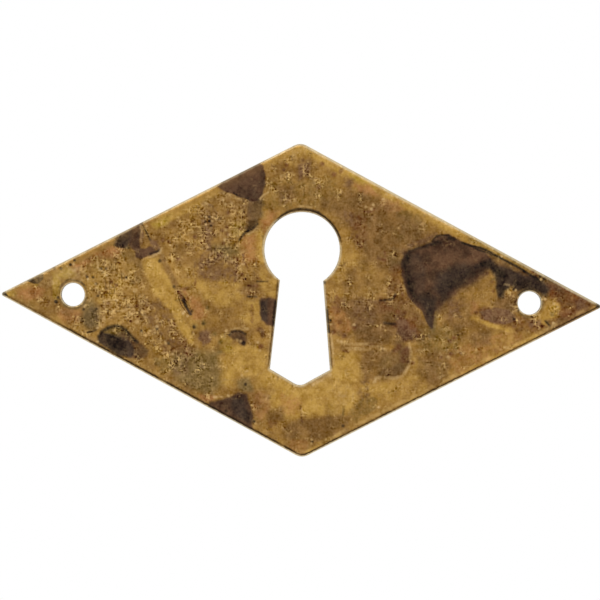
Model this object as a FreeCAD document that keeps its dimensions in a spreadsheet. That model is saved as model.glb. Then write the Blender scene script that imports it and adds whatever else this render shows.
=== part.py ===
import FreeCAD, Part
import math
import os
import Sketcher

# Diamond keyhole escutcheon for a drawer front or cabinet door, stamped from sheet brass as one plate.
# Millimetres. +X runs along the plate, to the right as seen from the front, and +Z is up.
# The front faces -Y, the back lies on y = 0, and the origin is midway between the two pin holes.

# Driving dimensions: name, value, meaning
SIZES = (
    ("plate_length", 63.5, "side point to side point, before the points are blunted"),
    ("plate_height", 33.25, "top corner to bottom corner, before they are rounded"),
    ("plate_thickness", 1.0, "gauge of the sheet"),
    ("outline_drop", 0.16, "middle of the outline below the line of the pin holes"),
    ("corner_offset", 0.37, "top corner left of centre, and bottom corner right of centre"),
    ("point_skew", 0.08, "left point above the outline's middle, and right point below it"),
    ("point_radius", 0.22, "rounding of the two side points"),
    ("corner_radius", 1.35, "rounding of the top and bottom corners"),
    ("rim_radius", 0.45, "roll of the front edge all round the outline"),
    ("bow_diameter", 7.94, "round upper end of the keyhole"),
    ("bow_rise", 5.17, "centre of the round end above the line of the pin holes"),
    ("neck_width", 4.56, "width of the slot where it leaves the round end"),
    ("foot_width", 6.32, "width of the slot at its foot"),
    ("slot_reach", 12.62, "centre of the round end down to the foot of the slot"),
    ("foot_depth", 1.8, "depth of the shallow vee under the foot"),
    ("foot_radius", 1.1, "rounding of the bottom of the vee"),
    ("keyhole_rim_radius", 0.12, "roll of the keyhole's front edge"),
    ("pin_inset", 7.75, "side point to the middle of the pin hole beside it"),
    ("pin_hole_diameter", 2.45, "hole for a small escutcheon pin"),
    ("pin_rim_radius", 0.15, "roll of a pin hole's front edge"),
    ("gouge_length", 2.7, "long way of the gouge left of the keyhole"),
    ("gouge_width", 0.75, "short way of the gouge"),
    ("gouge_depth", 0.2, "depth of the gouge at its middle"),
    ("gouge_left", 12.2, "middle of the gouge left of the keyhole's centre line"),
    ("gouge_drop", 0.85, "middle of the gouge below the line of the pin holes"),
    ("gouge_slope", 58.0, "how steeply the gouge falls to the right, in degrees"),
)

# A sketch's own numbers: the ends and the centre of a piece, and the two axes, which start at its origin
START, END, CENTRE = range(1, 4)
HORIZONTAL_AXIS, VERTICAL_AXIS = range(-1, -3, -1)

# Places this close together are the same, and a volume that changes by less is unchanged
NEAR = 1e-5


def make_sheet(doc):
    """Put the driving dimensions in a spreadsheet, one alias a row."""
    sheet = doc.addObject("Spreadsheet::Sheet", "Sizes")
    for row, (name, value, meaning) in enumerate(SIZES, start=1):
        sheet.set(f"A{row}", meaning)
        sheet.set(f"B{row}", str(value))
        sheet.setAlias(f"B{row}", name)
    doc.recompute()
    return sheet


def origin_plane(body, role):
    """Find one of the body's own origin planes."""
    return next(item for item in body.Origin.OriginFeatures if item.Role == role)


def new_sketch(body, name):
    """Add a sketch on the plane of the plate's back. Its x is the plate's X, and its y is the plate's Z."""
    sketch = body.newObject("Sketcher::SketchObject", name)
    sketch.AttachmentSupport = [(origin_plane(body, "XZ_Plane"), "")]
    sketch.MapMode = "FlatFace"
    return sketch


def drive(sketch, name, kind, where, start, formula):
    """Add a named dimension, at about its size, and bind it to the spreadsheet."""
    index = sketch.addConstraint(Sketcher.Constraint(kind, *where, start))
    sketch.renameConstraint(index, name)
    sketch.setExpression(f"Constraints.{name}", formula)


def join_loop(sketch, count):
    """Join each piece of a closed outline to the next one, end to start."""
    for index in range(count):
        after = (index + 1) % count
        sketch.addConstraint(Sketcher.Constraint("Coincident", index, END, after, START))


def finish_feature(body, feature):
    """Work out a feature and make it the tip of the body."""
    body.Tip = feature
    body.Document.recompute()
    return feature


def pad_outline(body, sheet):
    """Raise the sharp-cornered diamond. Return its sketch, whose corners the roundings find."""
    half_length = sheet.plate_length / 2
    half_height = sheet.plate_height / 2
    corners = (
        ("left", -half_length, 0, "-Sizes.plate_length / 2", "Sizes.point_skew - Sizes.outline_drop"),
        ("bottom", 0, -half_height, "Sizes.corner_offset", "-Sizes.plate_height / 2 - Sizes.outline_drop"),
        ("right", half_length, 0, "Sizes.plate_length / 2", "-Sizes.point_skew - Sizes.outline_drop"),
        ("top", 0, half_height, "-Sizes.corner_offset", "Sizes.plate_height / 2 - Sizes.outline_drop"),
    )
    sketch = new_sketch(body, "Outline")
    places = [FreeCAD.Vector(across, up, 0) for _, across, up, _, _ in corners]
    for index, place in enumerate(places):
        after = places[(index + 1) % len(places)]
        sketch.addGeometry(Part.LineSegment(place, after), False)
    join_loop(sketch, len(places))
    for index, (name, across, up, across_formula, up_formula) in enumerate(corners):
        drive(sketch, f"{name}_across", "DistanceX", (index, START), across, across_formula)
        drive(sketch, f"{name}_up", "DistanceY", (index, START), up, up_formula)

    pad = body.newObject("PartDesign::Pad", "Plate")
    pad.Profile = sketch
    pad.setExpression("Length", "Sizes.plate_thickness")
    finish_feature(body, pad)
    return sketch


def edges_through(shape, x, z):
    """Name the edges that run straight through the sheet at a place on its face."""
    names = []
    for number, edge in enumerate(shape.Edges, start=1):
        if all(math.hypot(v.X - x, v.Z - z) < NEAR for v in edge.Vertexes):
            names.append(f"Edge{number}")
    return names


def round_edges(body, base, name, edge_names, radius_name):
    """Round the named edges of a feature by a radius of the spreadsheet."""
    fillet = body.newObject("PartDesign::Fillet", name)
    fillet.Base = (base, edge_names)
    fillet.setExpression("Radius", f"Sizes.{radius_name}")
    return finish_feature(body, fillet)


def round_corners(body, outline):
    """Blunt the side points a little, and round the top and bottom corners."""
    left, bottom, right, top = (outline.getPoint(index, START) for index in range(4))
    for name, pair, radius_name in (
        ("SidePoints", (left, right), "point_radius"),
        ("Corners", (bottom, top), "corner_radius"),
    ):
        base = body.Tip
        edge_names = [edge for place in pair for edge in edges_through(base.Shape, place.x, place.y)]
        round_edges(body, base, name, edge_names, radius_name)


def cut_through(body, sketch, name):
    """Punch a sketched opening right through the sheet, from the back to the front."""
    pocket = body.newObject("PartDesign::Pocket", name)
    pocket.Profile = sketch
    pocket.Type = "ThroughAll"
    pocket.Reversed = True
    return finish_feature(body, pocket)


def punch_keyhole(body, sheet):
    """Punch the keyhole: a round end over a slot that widens to a shallow vee."""
    radius = sheet.bow_diameter / 2
    half_neck = sheet.neck_width / 2
    half_foot = sheet.foot_width / 2
    neck_angle = math.acos(half_neck / radius)
    neck_up = sheet.bow_rise - radius * math.sin(neck_angle)
    foot_up = sheet.bow_rise - sheet.slot_reach

    centre = FreeCAD.Vector(0, sheet.bow_rise, 0)
    neck_left = FreeCAD.Vector(-half_neck, neck_up, 0)
    neck_right = FreeCAD.Vector(half_neck, neck_up, 0)
    foot_left = FreeCAD.Vector(-half_foot, foot_up, 0)
    foot_right = FreeCAD.Vector(half_foot, foot_up, 0)
    vee = FreeCAD.Vector(0, foot_up - sheet.foot_depth, 0)

    sketch = new_sketch(body, "KeyholeOutline")
    circle = Part.Circle(centre, FreeCAD.Vector(0, 0, 1), radius)
    bow = sketch.addGeometry(Part.ArcOfCircle(circle, -neck_angle, math.pi + neck_angle), False)
    left_side = sketch.addGeometry(Part.LineSegment(neck_left, foot_left), False)
    left_foot = sketch.addGeometry(Part.LineSegment(foot_left, vee), False)
    right_foot = sketch.addGeometry(Part.LineSegment(vee, foot_right), False)
    right_side = sketch.addGeometry(Part.LineSegment(foot_right, neck_right), False)
    join_loop(sketch, 5)

    sketch.addConstraint(Sketcher.Constraint("Symmetric", left_side, START, right_side, END, VERTICAL_AXIS))
    sketch.addConstraint(Sketcher.Constraint("Symmetric", left_side, END, right_side, START, VERTICAL_AXIS))
    sketch.addConstraint(Sketcher.Constraint("PointOnObject", left_foot, END, VERTICAL_AXIS))
    drive(sketch, "bow_diameter", "Diameter", (bow,), sheet.bow_diameter, "Sizes.bow_diameter")
    drive(sketch, "bow_rise", "DistanceY", (bow, CENTRE), sheet.bow_rise, "Sizes.bow_rise")
    drive(sketch, "neck_width", "DistanceX", (left_side, START, right_side, END),
          sheet.neck_width, "Sizes.neck_width")
    drive(sketch, "foot_width", "DistanceX", (left_side, END, right_side, START),
          sheet.foot_width, "Sizes.foot_width")
    drive(sketch, "slot_reach", "DistanceY", (left_side, END, bow, CENTRE),
          sheet.slot_reach, "Sizes.slot_reach")
    drive(sketch, "foot_depth", "DistanceY", (left_foot, END, right_foot, END),
          sheet.foot_depth, "Sizes.foot_depth")

    keyhole = cut_through(body, sketch, "Keyhole")
    bottom = sketch.getPoint(left_foot, END)
    edge_names = edges_through(keyhole.Shape, bottom.x, bottom.y)
    round_edges(body, keyhole, "KeyholeFoot", edge_names, "foot_radius")


def punch_pin_holes(body, sheet):
    """Punch the right pin hole, and mirror it to the left."""
    sketch = new_sketch(body, "PinHoleOutline")
    half_spacing = sheet.plate_length / 2 - sheet.pin_inset
    place = FreeCAD.Vector(half_spacing, 0, 0)
    circle = Part.Circle(place, FreeCAD.Vector(0, 0, 1), sheet.pin_hole_diameter / 2)
    hole = sketch.addGeometry(circle, False)
    sketch.addConstraint(Sketcher.Constraint("PointOnObject", hole, CENTRE, HORIZONTAL_AXIS))
    drive(sketch, "half_spacing", "DistanceX", (VERTICAL_AXIS, START, hole, CENTRE),
          half_spacing, "Sizes.plate_length / 2 - Sizes.pin_inset")
    drive(sketch, "pin_hole_diameter", "Diameter", (hole,), sheet.pin_hole_diameter,
          "Sizes.pin_hole_diameter")
    pocket = cut_through(body, sketch, "PinHole")

    mirrored = body.newObject("PartDesign::Mirrored", "PinHoles")
    mirrored.Originals = [pocket]
    mirrored.MirrorPlane = (origin_plane(body, "YZ_Plane"), [""])
    finish_feature(body, mirrored)


def front_outlines(shape, thickness):
    """Sort the outlines of the flat front: the plate's own, the keyhole's and the pin holes'."""
    flat = [face for face in shape.Faces if abs(face.BoundBox.YMax + thickness) < NEAR]
    front = max(flat, key=lambda face: face.Area)
    holes = [wire for wire in front.Wires if not wire.isSame(front.OuterWire)]
    return {
        "plate": [front.OuterWire],
        "keyhole": [wire for wire in holes if len(wire.Edges) > 1],
        "pin holes": [wire for wire in holes if len(wire.Edges) == 1],
    }


def edges_of(shape, wires):
    """Name the shape's edges that some wires are made of."""
    return [
        f"Edge{number}"
        for number, edge in enumerate(shape.Edges, start=1)
        if any(edge.isSame(part) for wire in wires for part in wire.Edges)
    ]


def roll_front_edges(body, sheet):
    """Roll the front edges, as the press left them: the outline, the keyhole and the pin holes."""
    for name, radius_name, wanted in (
        ("RimRoll", "rim_radius", "plate"),
        ("KeyholeRoll", "keyhole_rim_radius", "keyhole"),
        ("PinHoleRoll", "pin_rim_radius", "pin holes"),
    ):
        base = body.Tip
        wires = front_outlines(base.Shape, sheet.plate_thickness)[wanted]
        round_edges(body, base, name, edges_of(base.Shape, wires), radius_name)


def cut_gouge(body):
    """Scoop out the gouge that slants down across the front, left of the keyhole."""
    gouge = body.newObject("PartDesign::SubtractiveEllipsoid", "Gouge")
    gouge.AttachmentSupport = [(origin_plane(body, "XZ_Plane"), "")]
    gouge.MapMode = "FlatFace"
    gouge.setExpression("Radius1", "Sizes.gouge_depth")
    gouge.setExpression("Radius2", "Sizes.gouge_length / 2")
    gouge.setExpression("Radius3", "Sizes.gouge_width / 2")
    gouge.setExpression("AttachmentOffset.Base.x", "-Sizes.gouge_left")
    gouge.setExpression("AttachmentOffset.Base.y", "-Sizes.gouge_drop")
    gouge.setExpression("AttachmentOffset.Base.z", "Sizes.plate_thickness")
    gouge.setExpression("AttachmentOffset.Rotation.Angle", "-Sizes.gouge_slope")
    finish_feature(body, gouge)


def check_features(doc, body):
    """Stop if a feature failed, or if one left the volume as it was."""
    for item in doc.Objects:
        if "Invalid" in item.State or "Error" in item.State:
            raise RuntimeError(f"{item.Name} failed: {item.State}")
    solids = [item for item in body.Group if item.isDerivedFrom("PartDesign::Feature")]
    for before, after in zip(solids, solids[1:]):
        change = after.Shape.Volume - before.Shape.Volume
        if abs(change) < NEAR:
            raise RuntimeError(f"{after.Name} changed nothing")
        print(f"{after.Name} changed the volume by {change:.4f} mm3")
    shape = body.Shape
    if shape.isNull() or not shape.isValid() or len(shape.Solids) != 1:
        raise RuntimeError("the plate is not one valid solid")


def build():
    """Build the document, check it and write the plate's STEP file."""
    doc = FreeCAD.newDocument("KeyholeEscutcheon")
    sheet = make_sheet(doc)
    body = doc.addObject("PartDesign::Body", "EscutcheonPlate")
    body.Label = "escutcheon_plate"
    body.Placement = FreeCAD.Placement()

    outline = pad_outline(body, sheet)
    round_corners(body, outline)
    punch_keyhole(body, sheet)
    punch_pin_holes(body, sheet)
    roll_front_edges(body, sheet)
    cut_gouge(body)
    check_features(doc, body)

    os.makedirs("parts", exist_ok=True)
    body.Shape.exportStep(os.path.join("parts", f"{body.Label}.step"))
    box = body.Shape.optimalBoundingBox(False)
    print(f"{body.Label}: {body.Shape.Volume:.2f} mm3, {len(body.Shape.Faces)} faces, "
          f"x {box.XMin:.2f} to {box.XMax:.2f}, y {box.YMin:.2f} to {box.YMax:.2f}, "
          f"z {box.ZMin:.2f} to {box.ZMax:.2f}")


build()
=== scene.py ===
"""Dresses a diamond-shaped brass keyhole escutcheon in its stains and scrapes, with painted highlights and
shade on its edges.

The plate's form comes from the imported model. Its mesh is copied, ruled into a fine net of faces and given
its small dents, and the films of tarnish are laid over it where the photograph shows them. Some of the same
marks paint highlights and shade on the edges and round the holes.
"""

import logging
import math
from collections.abc import Iterable, Sequence
from dataclasses import dataclass, field
from enum import Enum
from typing import ClassVar

import bmesh
import bpy
import numpy as np
from mathutils import Euler, Matrix, Vector, noise


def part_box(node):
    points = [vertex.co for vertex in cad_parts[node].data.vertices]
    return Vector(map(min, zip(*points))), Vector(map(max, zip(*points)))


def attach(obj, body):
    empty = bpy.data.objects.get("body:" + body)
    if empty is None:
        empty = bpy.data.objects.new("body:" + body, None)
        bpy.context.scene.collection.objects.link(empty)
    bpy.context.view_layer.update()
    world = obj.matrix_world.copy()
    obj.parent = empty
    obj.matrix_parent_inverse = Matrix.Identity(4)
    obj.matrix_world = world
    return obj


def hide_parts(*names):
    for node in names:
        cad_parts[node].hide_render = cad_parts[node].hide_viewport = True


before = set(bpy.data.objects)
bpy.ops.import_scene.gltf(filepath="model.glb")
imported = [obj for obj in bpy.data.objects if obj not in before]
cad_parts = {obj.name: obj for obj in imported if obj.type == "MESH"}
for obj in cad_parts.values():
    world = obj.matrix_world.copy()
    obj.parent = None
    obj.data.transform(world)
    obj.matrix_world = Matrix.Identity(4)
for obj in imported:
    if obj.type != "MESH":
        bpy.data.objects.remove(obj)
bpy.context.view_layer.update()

LOG = logging.getLogger("escutcheon")
MM = 0.001
NOISE_MIDDLE = 0.5

Colour = tuple[float, float, float, float]
Pixel = tuple[float, float]
Socket = bpy.types.NodeSocket
Feed = "Socket | float | Sequence[float]"


def shade(red: int, green: int, blue: int) -> Colour:
    """Turns an eight-bit screen colour into the linear colour that a node takes.

    Args:
        red: Red, from 0 to 255.
        green: Green, from 0 to 255.
        blue: Blue, from 0 to 255.

    Returns:
        The same colour as linear red, green, blue and a full alpha.
    """
    foot, slope, lift, power = 0.04045, 12.92, 0.055, 2.4

    def linear(level: int) -> float:
        """Returns one channel's linear light, by the screen standard's straight foot and curve."""
        part = level / 255
        return part / slope if part <= foot else ((part + lift) / (1 + lift)) ** power

    return (linear(red), linear(green), linear(blue), 1.0)


LIGHT_BRASS = shade(163, 124, 62)
BRIGHT_BRASS = shade(214, 178, 112)


@dataclass(frozen=True)
class PhotoView:
    """How the photograph looks at the plate: square on, from far off, with the plate turned a little."""

    origin_column: float = 301.2
    origin_row: float = 298.76
    middle: float = 300.0
    across: int = 600
    pixel: float = 0.1051 * MM
    turn: float = math.radians(1.05)

    def place(self, column: float, row: float) -> tuple[float, float]:
        """Finds the spot on the plate's face that a pixel shows.

        Args:
            column: The pixel's column in the photograph.
            row: The pixel's row in the photograph.

        Returns:
            The spot's x and z in metres.
        """
        right = column - self.origin_column
        down = row - self.origin_row
        along = right * math.cos(self.turn) + down * math.sin(self.turn)
        below = down * math.cos(self.turn) - right * math.sin(self.turn)
        return along * self.pixel, -below * self.pixel

    def trace(self, pixels: Iterable[Pixel]) -> np.ndarray:
        """Returns the places on the plate of a row of pixels, as x and z in millimetres."""
        return np.array([self.place(*spot) for spot in pixels]) / MM


class Film(Enum):
    """What lies on the brass, from the faint films up to the black and the bare highlights. Some marks also
    use these tones for painted highlights and painted shade on the edges, the keyhole, the pin holes and the
    gouge.
    """

    GOLD = "worn_gold"
    YELLOW = "yellow_brass"
    TAN = "tan_copper"
    OLIVE = "olive_film"
    GREY = "grey_film"
    BROWN = "brown_film"
    UMBER = "umber_film"
    PLUM = "plum_film"
    STAIN = "brown_stain"
    SLATE = "slate_stain"
    BLACK = "black_crust"
    PALE = "pale_scrape"
    PITS = "pitting"


@dataclass(frozen=True)
class FilmLook:
    """The finish of one film: its two mottled colours and how it takes the light."""

    light: Colour
    dark: Colour
    opacity: float
    ragged: float
    metallic: float
    roughness: float


FILM_LOOKS: dict[Film, FilmLook] = {
    Film.GOLD: FilmLook(shade(194, 154, 78), shade(164, 125, 56), 0.85, 0.5, 0.95, 0.34),
    Film.YELLOW: FilmLook(shade(182, 149, 64), shade(152, 122, 46), 0.78, 0.5, 0.95, 0.36),
    Film.TAN: FilmLook(shade(176, 122, 74), shade(142, 94, 50), 0.78, 0.5, 0.9, 0.4),
    Film.OLIVE: FilmLook(shade(122, 98, 50), shade(94, 74, 34), 0.8, 0.5, 0.85, 0.45),
    Film.GREY: FilmLook(shade(126, 104, 64), shade(98, 80, 44), 0.8, 0.5, 0.85, 0.48),
    Film.BROWN: FilmLook(shade(126, 92, 54), shade(98, 70, 36), 0.85, 0.5, 0.85, 0.45),
    Film.UMBER: FilmLook(shade(112, 68, 38), shade(80, 46, 22), 0.85, 0.5, 0.8, 0.48),
    Film.PLUM: FilmLook(shade(116, 84, 60), shade(90, 62, 42), 0.85, 0.6, 0.8, 0.48),
    Film.STAIN: FilmLook(shade(98, 69, 49), shade(64, 43, 30), 0.96, 0.4, 0.75, 0.5),
    Film.SLATE: FilmLook(shade(72, 56, 44), shade(40, 29, 23), 0.95, 0.35, 0.7, 0.5),
    Film.BLACK: FilmLook(shade(36, 24, 16), shade(18, 11, 7), 0.95, 0.25, 0.7, 0.55),
    Film.PALE: FilmLook(shade(212, 180, 128), shade(190, 154, 98), 0.8, 0.45, 0.95, 0.34),
}


@dataclass(frozen=True)
class Patch:
    """An area of one film, by the corners of its outline in the photograph."""

    name: str
    film: Film
    corners: tuple[Pixel, ...]
    soft: float = 0.3
    cover: float = 1.0

    def reach(self, view: PhotoView, spots: np.ndarray) -> np.ndarray:
        """Measures how far spots lie inside the patch.

        Args:
            view: How the photograph looks at the plate.
            spots: The spots' x and z in millimetres, a row each.

        Returns:
            For each spot the distance to the outline in millimetres, below nothing outside it.
        """
        outline = view.trace(self.corners)
        away = np.full(len(spots), np.inf)
        inside = np.zeros(len(spots), dtype=bool)
        for start, end in zip(outline, np.roll(outline, -1, axis=0)):
            away = np.minimum(away, distance_to_run(spots, start, end))
            spans = (start[1] > spots[:, 1]) != (end[1] > spots[:, 1])
            if start[1] != end[1]:
                crossing = start[0] + (spots[:, 1] - start[1]) * (end[0] - start[0]) / (end[1] - start[1])
                inside ^= spans & (spots[:, 0] < crossing)
        return np.where(inside, away, -away)


@dataclass(frozen=True)
class Streak:
    """A narrow mark of one film along a line in the photograph."""

    name: str
    film: Film
    points: tuple[Pixel, ...]
    width: float = 0.2
    soft: float = 0.1
    cover: float = 1.0

    def reach(self, view: PhotoView, spots: np.ndarray) -> np.ndarray:
        """Measures how far spots lie inside the streak.

        Args:
            view: How the photograph looks at the plate.
            spots: The spots' x and z in millimetres, a row each.

        Returns:
            For each spot the distance to the streak's side in millimetres, below nothing outside it.
        """
        line = view.trace(self.points)
        away = np.full(len(spots), np.inf)
        for start, end in zip(line[:-1], line[1:]):
            away = np.minimum(away, distance_to_run(spots, start, end))
        return self.width / 2 - away


@dataclass(frozen=True)
class Spots:
    """Round specks of one film, by their middles in the photograph."""

    name: str
    film: Film
    middles: tuple[Pixel, ...]
    radius: float = 0.12
    soft: float = 0.1
    cover: float = 1.0

    def reach(self, view: PhotoView, spots: np.ndarray) -> np.ndarray:
        """Measures how far spots lie inside the nearest speck.

        Args:
            view: How the photograph looks at the plate.
            spots: The spots' x and z in millimetres, a row each.

        Returns:
            For each spot the distance to the speck's edge in millimetres, below nothing outside it.
        """
        away = np.full(len(spots), np.inf)
        for middle in view.trace(self.middles):
            away = np.minimum(away, np.hypot(*(spots - middle).T))
        return self.radius - away


Mark = Patch | Streak | Spots


def distance_to_run(spots: np.ndarray, start: np.ndarray, end: np.ndarray) -> np.ndarray:
    """Measures how far spots lie from a straight run.

    Args:
        spots: The spots, a row each.
        start: The run's first end.
        end: The run's other end.

    Returns:
        The distance of each spot.
    """
    run = end - start
    length = float(run @ run)
    along = np.clip(((spots - start) @ run) / length, 0.0, 1.0) if length else np.zeros(len(spots))
    return np.hypot(*(spots - start - along[:, None] * run).T)


LEFT_POINT: tuple[Mark, ...] = (
    Patch("tip crust", Film.BLACK, ((1, 291), (6, 291.5), (8, 296), (2, 297)), 0.1),
    Patch("tip yellow", Film.YELLOW, ((7, 292), (15, 288), (17, 293), (14, 296), (8, 295)), 0.2),
    Patch("tip tan", Film.TAN, ((16, 290), (26, 285), (33, 284), (42, 289), (41, 299), (28, 299),
        (17, 296)), 0.5),
    Patch("edge crust", Film.BLACK, ((27, 281), (33, 278), (43, 273.5), (43, 279), (39, 283.5), (33, 283)),
        0.12),
    Patch("edge yellow", Film.YELLOW, ((26, 284), (38, 284), (30, 290), (22, 290)), 0.3, 0.6),
    Patch("yellow beside the hole", Film.YELLOW, ((52, 272), (58, 270), (60, 284), (59, 292), (57, 301),
        (53, 296), (53, 284)), 0.25, 0.6),
    Patch("yellow above the hole", Film.YELLOW, ((55, 270), (66, 262), (72, 268), (76, 275), (66, 278),
        (58, 276)), 0.4),
    Spots("edge specks", Film.BLACK, ((70.5, 264.5), (74.5, 260.5), (61, 268.5), (54.5, 268.5)), 0.17),
    Spots("edge lights", Film.PALE, ((67, 266.5), (73.5, 264), (62, 272))),
    Patch("tan right of the hole", Film.TAN, ((72, 264), (84, 262), (95, 254), (92, 262), (76, 270)), 0.5,
        0.8),
    Patch("umber right of the hole", Film.UMBER, ((77, 271), (84, 271), (87, 284), (83, 282), (79, 279)),
        0.4, 0.3),
    # Painted shade along the pin hole's upper rim.
    Streak("shade over the hole", Film.BLACK, ((65, 282), (67, 280), (70, 279), (75, 280.5), (80, 281.5),
        (84, 285)), 0.14, 0.12, 0.6),
    Streak("umber left of the hole", Film.UMBER, ((61.5, 287), (63, 284)), 0.3, 0.15),
    Spots("dots left of the hole", Film.BLACK, ((56, 301.6),), 0.2),
    Spots("dark dot left of the hole", Film.SLATE, ((58, 297.5),), 0.15, 0.15, 0.8),
    # Painted shadow below the pin hole.
    Streak("grey shadow under the hole", Film.GREY, ((61, 301), (65, 305), (70, 307), (77, 307.5), (83, 304),
        (86, 298)), 0.25, 0.15, 0.9),
    Patch("umber under the point", Film.UMBER, ((36, 300), (46, 299), (50, 304), (42, 306)), 0.35, 0.35),
    Patch("tan under the hole", Film.TAN, ((58, 309), (72, 309), (80, 311), (80, 321), (66, 322),
        (60, 317)), 0.5, 0.7),
    Patch("grey smear", Film.GREY, ((83, 303), (92, 298), (99, 310), (98, 328), (88, 329), (79, 322),
        (82, 312)), 0.5),
    Patch("slate core of the smear", Film.SLATE, ((84, 319), (91, 309), (97, 312), (96, 327), (88, 328)),
        0.7, 0.42),
    Streak("crack under the smear", Film.BLACK, ((87, 332.5), (92, 331.5), (96, 330)), 0.18, 0.12, 0.85),
    Spots("lights by the hole", Film.PALE, ((88, 279), (84.5, 306.5), (95.5, 284), (98, 292))),
    Spots("darks by the hole", Film.BLACK, ((83.5, 309.5), (96.5, 309), (93, 277.3), (87, 277)), 0.14, 0.12,
        0.8),
    Patch("gold right of the hole", Film.GOLD, ((80, 266), (96, 258), (100, 270), (98, 300), (86, 300),
        (86, 284)), 0.6, 0.36),
    Patch("brown under the hole", Film.BROWN, ((62, 311), (82, 308), (83, 320), (68, 323)), 0.4, 0.45),
    Patch("pale above the hole", Film.PALE, ((37, 279), (52, 270), (82, 270), (80, 280), (66, 290),
        (58, 281), (42, 284)), 0.6, 0.36),
)

UPPER_LEFT: tuple[Mark, ...] = (
    Patch("pitted field", Film.PITS, ((82, 262), (98, 256), (128, 256), (140, 280), (150, 300), (146, 326),
        (120, 327), (100, 325), (96, 300), (88, 284)), 1.2),
    Patch("tan under the edge", Film.TAN, ((92, 253), (112, 246), (124, 250), (118, 256), (98, 257)), 0.4,
        0.7),
    Patch("slate crust of the near stain", Film.SLATE, ((114, 244), (118, 236), (124, 232), (131, 229),
        (130, 240), (128, 248), (118, 247)), 0.3, 0.85),
    Patch("near stain", Film.STAIN, ((128, 231), (136, 226), (143, 220), (141, 230), (140, 240), (141, 250),
        (134, 251), (129, 246)), 0.15),
    Patch("plum in the near stain", Film.PLUM, ((139, 224), (143, 226), (144, 236), (142, 244), (140, 240)),
        0.2),
    Streak("light line in the near stain", Film.PALE, ((140.5, 226), (141.3, 234), (141, 241)), 0.14, 0.15,
        0.42),
    Streak("dark side of the near stain", Film.BLACK, ((142, 223), (144, 228), (147, 233), (150, 240)),
        0.16, 0.15),
    Patch("plum beside the near stain", Film.PLUM, ((149, 239), (157, 241), (160, 249), (152, 249)), 0.3,
        0.7),
    Patch("foot of the near stain", Film.STAIN, ((134, 249), (146, 248), (150, 246), (156, 250), (160, 249),
        (159, 252), (150, 256), (141, 259), (136, 257)), 0.15),
    Streak("crust at the near stain's foot", Film.BLACK, ((150, 254), (154, 252.5), (160, 250)), 0.2, 0.15,
        0.8),
    Streak("crust left of the near stain", Film.BLACK, ((114, 245), (120, 247), (130, 248)), 0.14, 0.14,
        0.8),
    Streak("light line at the near stain's foot", Film.PALE, ((149, 257.5), (154, 255), (160, 252.5),
        (162, 248)), 0.16, 0.12, 0.5),
    Patch("grey band", Film.GREY, ((118, 249), (130, 248), (136, 258), (141, 262), (140, 279), (132, 283),
        (129, 270), (127, 258)), 0.4, 0.36),
    Patch("olive above the pits", Film.OLIVE, ((100, 257), (120, 256), (127, 260), (128, 276), (110, 272),
        (98, 268)), 0.8, 0.3),
    Patch("scraped gold", Film.GOLD, ((142, 259), (152, 257), (160, 258), (162, 270), (168, 276),
        (174, 290), (177, 298), (180, 308), (186, 322), (191, 336), (193, 345), (187, 341), (180, 330),
        (172, 312), (162, 302), (152, 290), (146, 276))),
    Spots("dot right of the scrape", Film.BLACK, ((174, 287), (159.7, 261)), 0.17, 0.15, 0.7),
    Patch("yellow on the edge", Film.YELLOW, ((149, 224), (162, 217), (172, 213), (168, 224), (156, 228))),
    Spots("umber specks", Film.UMBER, ((169, 241.5), (188, 244), (163, 240), (178, 259)), 0.2, 0.2, 0.7),
    Spots("light specks", Film.PALE, ((170, 245), (146.5, 226), (97.6, 262), (106.5, 275), (126, 279.5))),
    Streak("light upright line", Film.PALE, ((97.5, 256), (97.8, 268)), 0.1, 0.1, 0.6),
    Streak("light curl", Film.PALE, ((98, 270), (103, 271), (106.5, 276)), 0.1, 0.1, 0.6),
    Spots("dark specks in the pits", Film.BLACK, ((126, 277.5), (101, 268.5), (106, 268.5), (98, 296),
        (96, 284)), 0.14, 0.12, 0.75),
    Streak("curl in the pits", Film.PALE, ((104, 306), (104, 301), (109, 300), (118, 300)), 0.14, 0.12,
        0.65),
    Streak("lower curl in the pits", Film.PALE, ((101, 311), (110, 311), (122, 311), (130, 308)), 0.12,
        0.12, 0.5),
    Spots("lights in the pits", Film.PALE, ((130, 305), (132.5, 309), (130, 313.5), (104, 319.5),
        (137, 322), (110, 287), (135, 290)), 0.2, 0.15, 0.5),
    Spots("dark rings in the pits", Film.UMBER, ((108, 303), (111, 282), (116, 285), (137, 306),
        (131, 321)), 0.2, 0.15, 0.8),
    Patch("edge gold", Film.GOLD, ((184, 207), (204, 196), (218, 187), (222, 191), (206, 200), (190, 207)),
        0.35),
    Patch("gold below the edge", Film.GOLD, ((178, 210), (196, 201), (206, 204), (200, 211), (184, 214)),
        0.4, 0.6),
    Patch("gold on the upper edge", Film.GOLD, ((160, 215), (184, 204), (190, 210), (172, 220), (162, 222)),
        0.3, 0.7),
    Patch("brown right of the scrape", Film.BROWN, ((174, 246), (194, 246), (194, 262), (178, 264)), 0.6,
        0.45),
    Patch("barred field", Film.PITS, ((166, 236), (190, 206), (214, 194), (246, 206), (243, 240),
        (232, 262), (206, 250), (172, 256)), 0.8, 0.8),
    Streak("shade right of the scrape", Film.BROWN, ((162, 257), (168, 270), (175, 284), (182, 298)), 0.45,
        0.3, 0.62),
    Patch("gold left of the pits", Film.GOLD, ((98, 286), (120, 281), (122, 290), (113, 301), (99, 302)),
        0.6, 0.5),
    Patch("umber edge of the near stain", Film.UMBER, ((139, 226), (149, 221), (150, 227), (141, 231)), 0.3,
        0.6),
)

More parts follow.
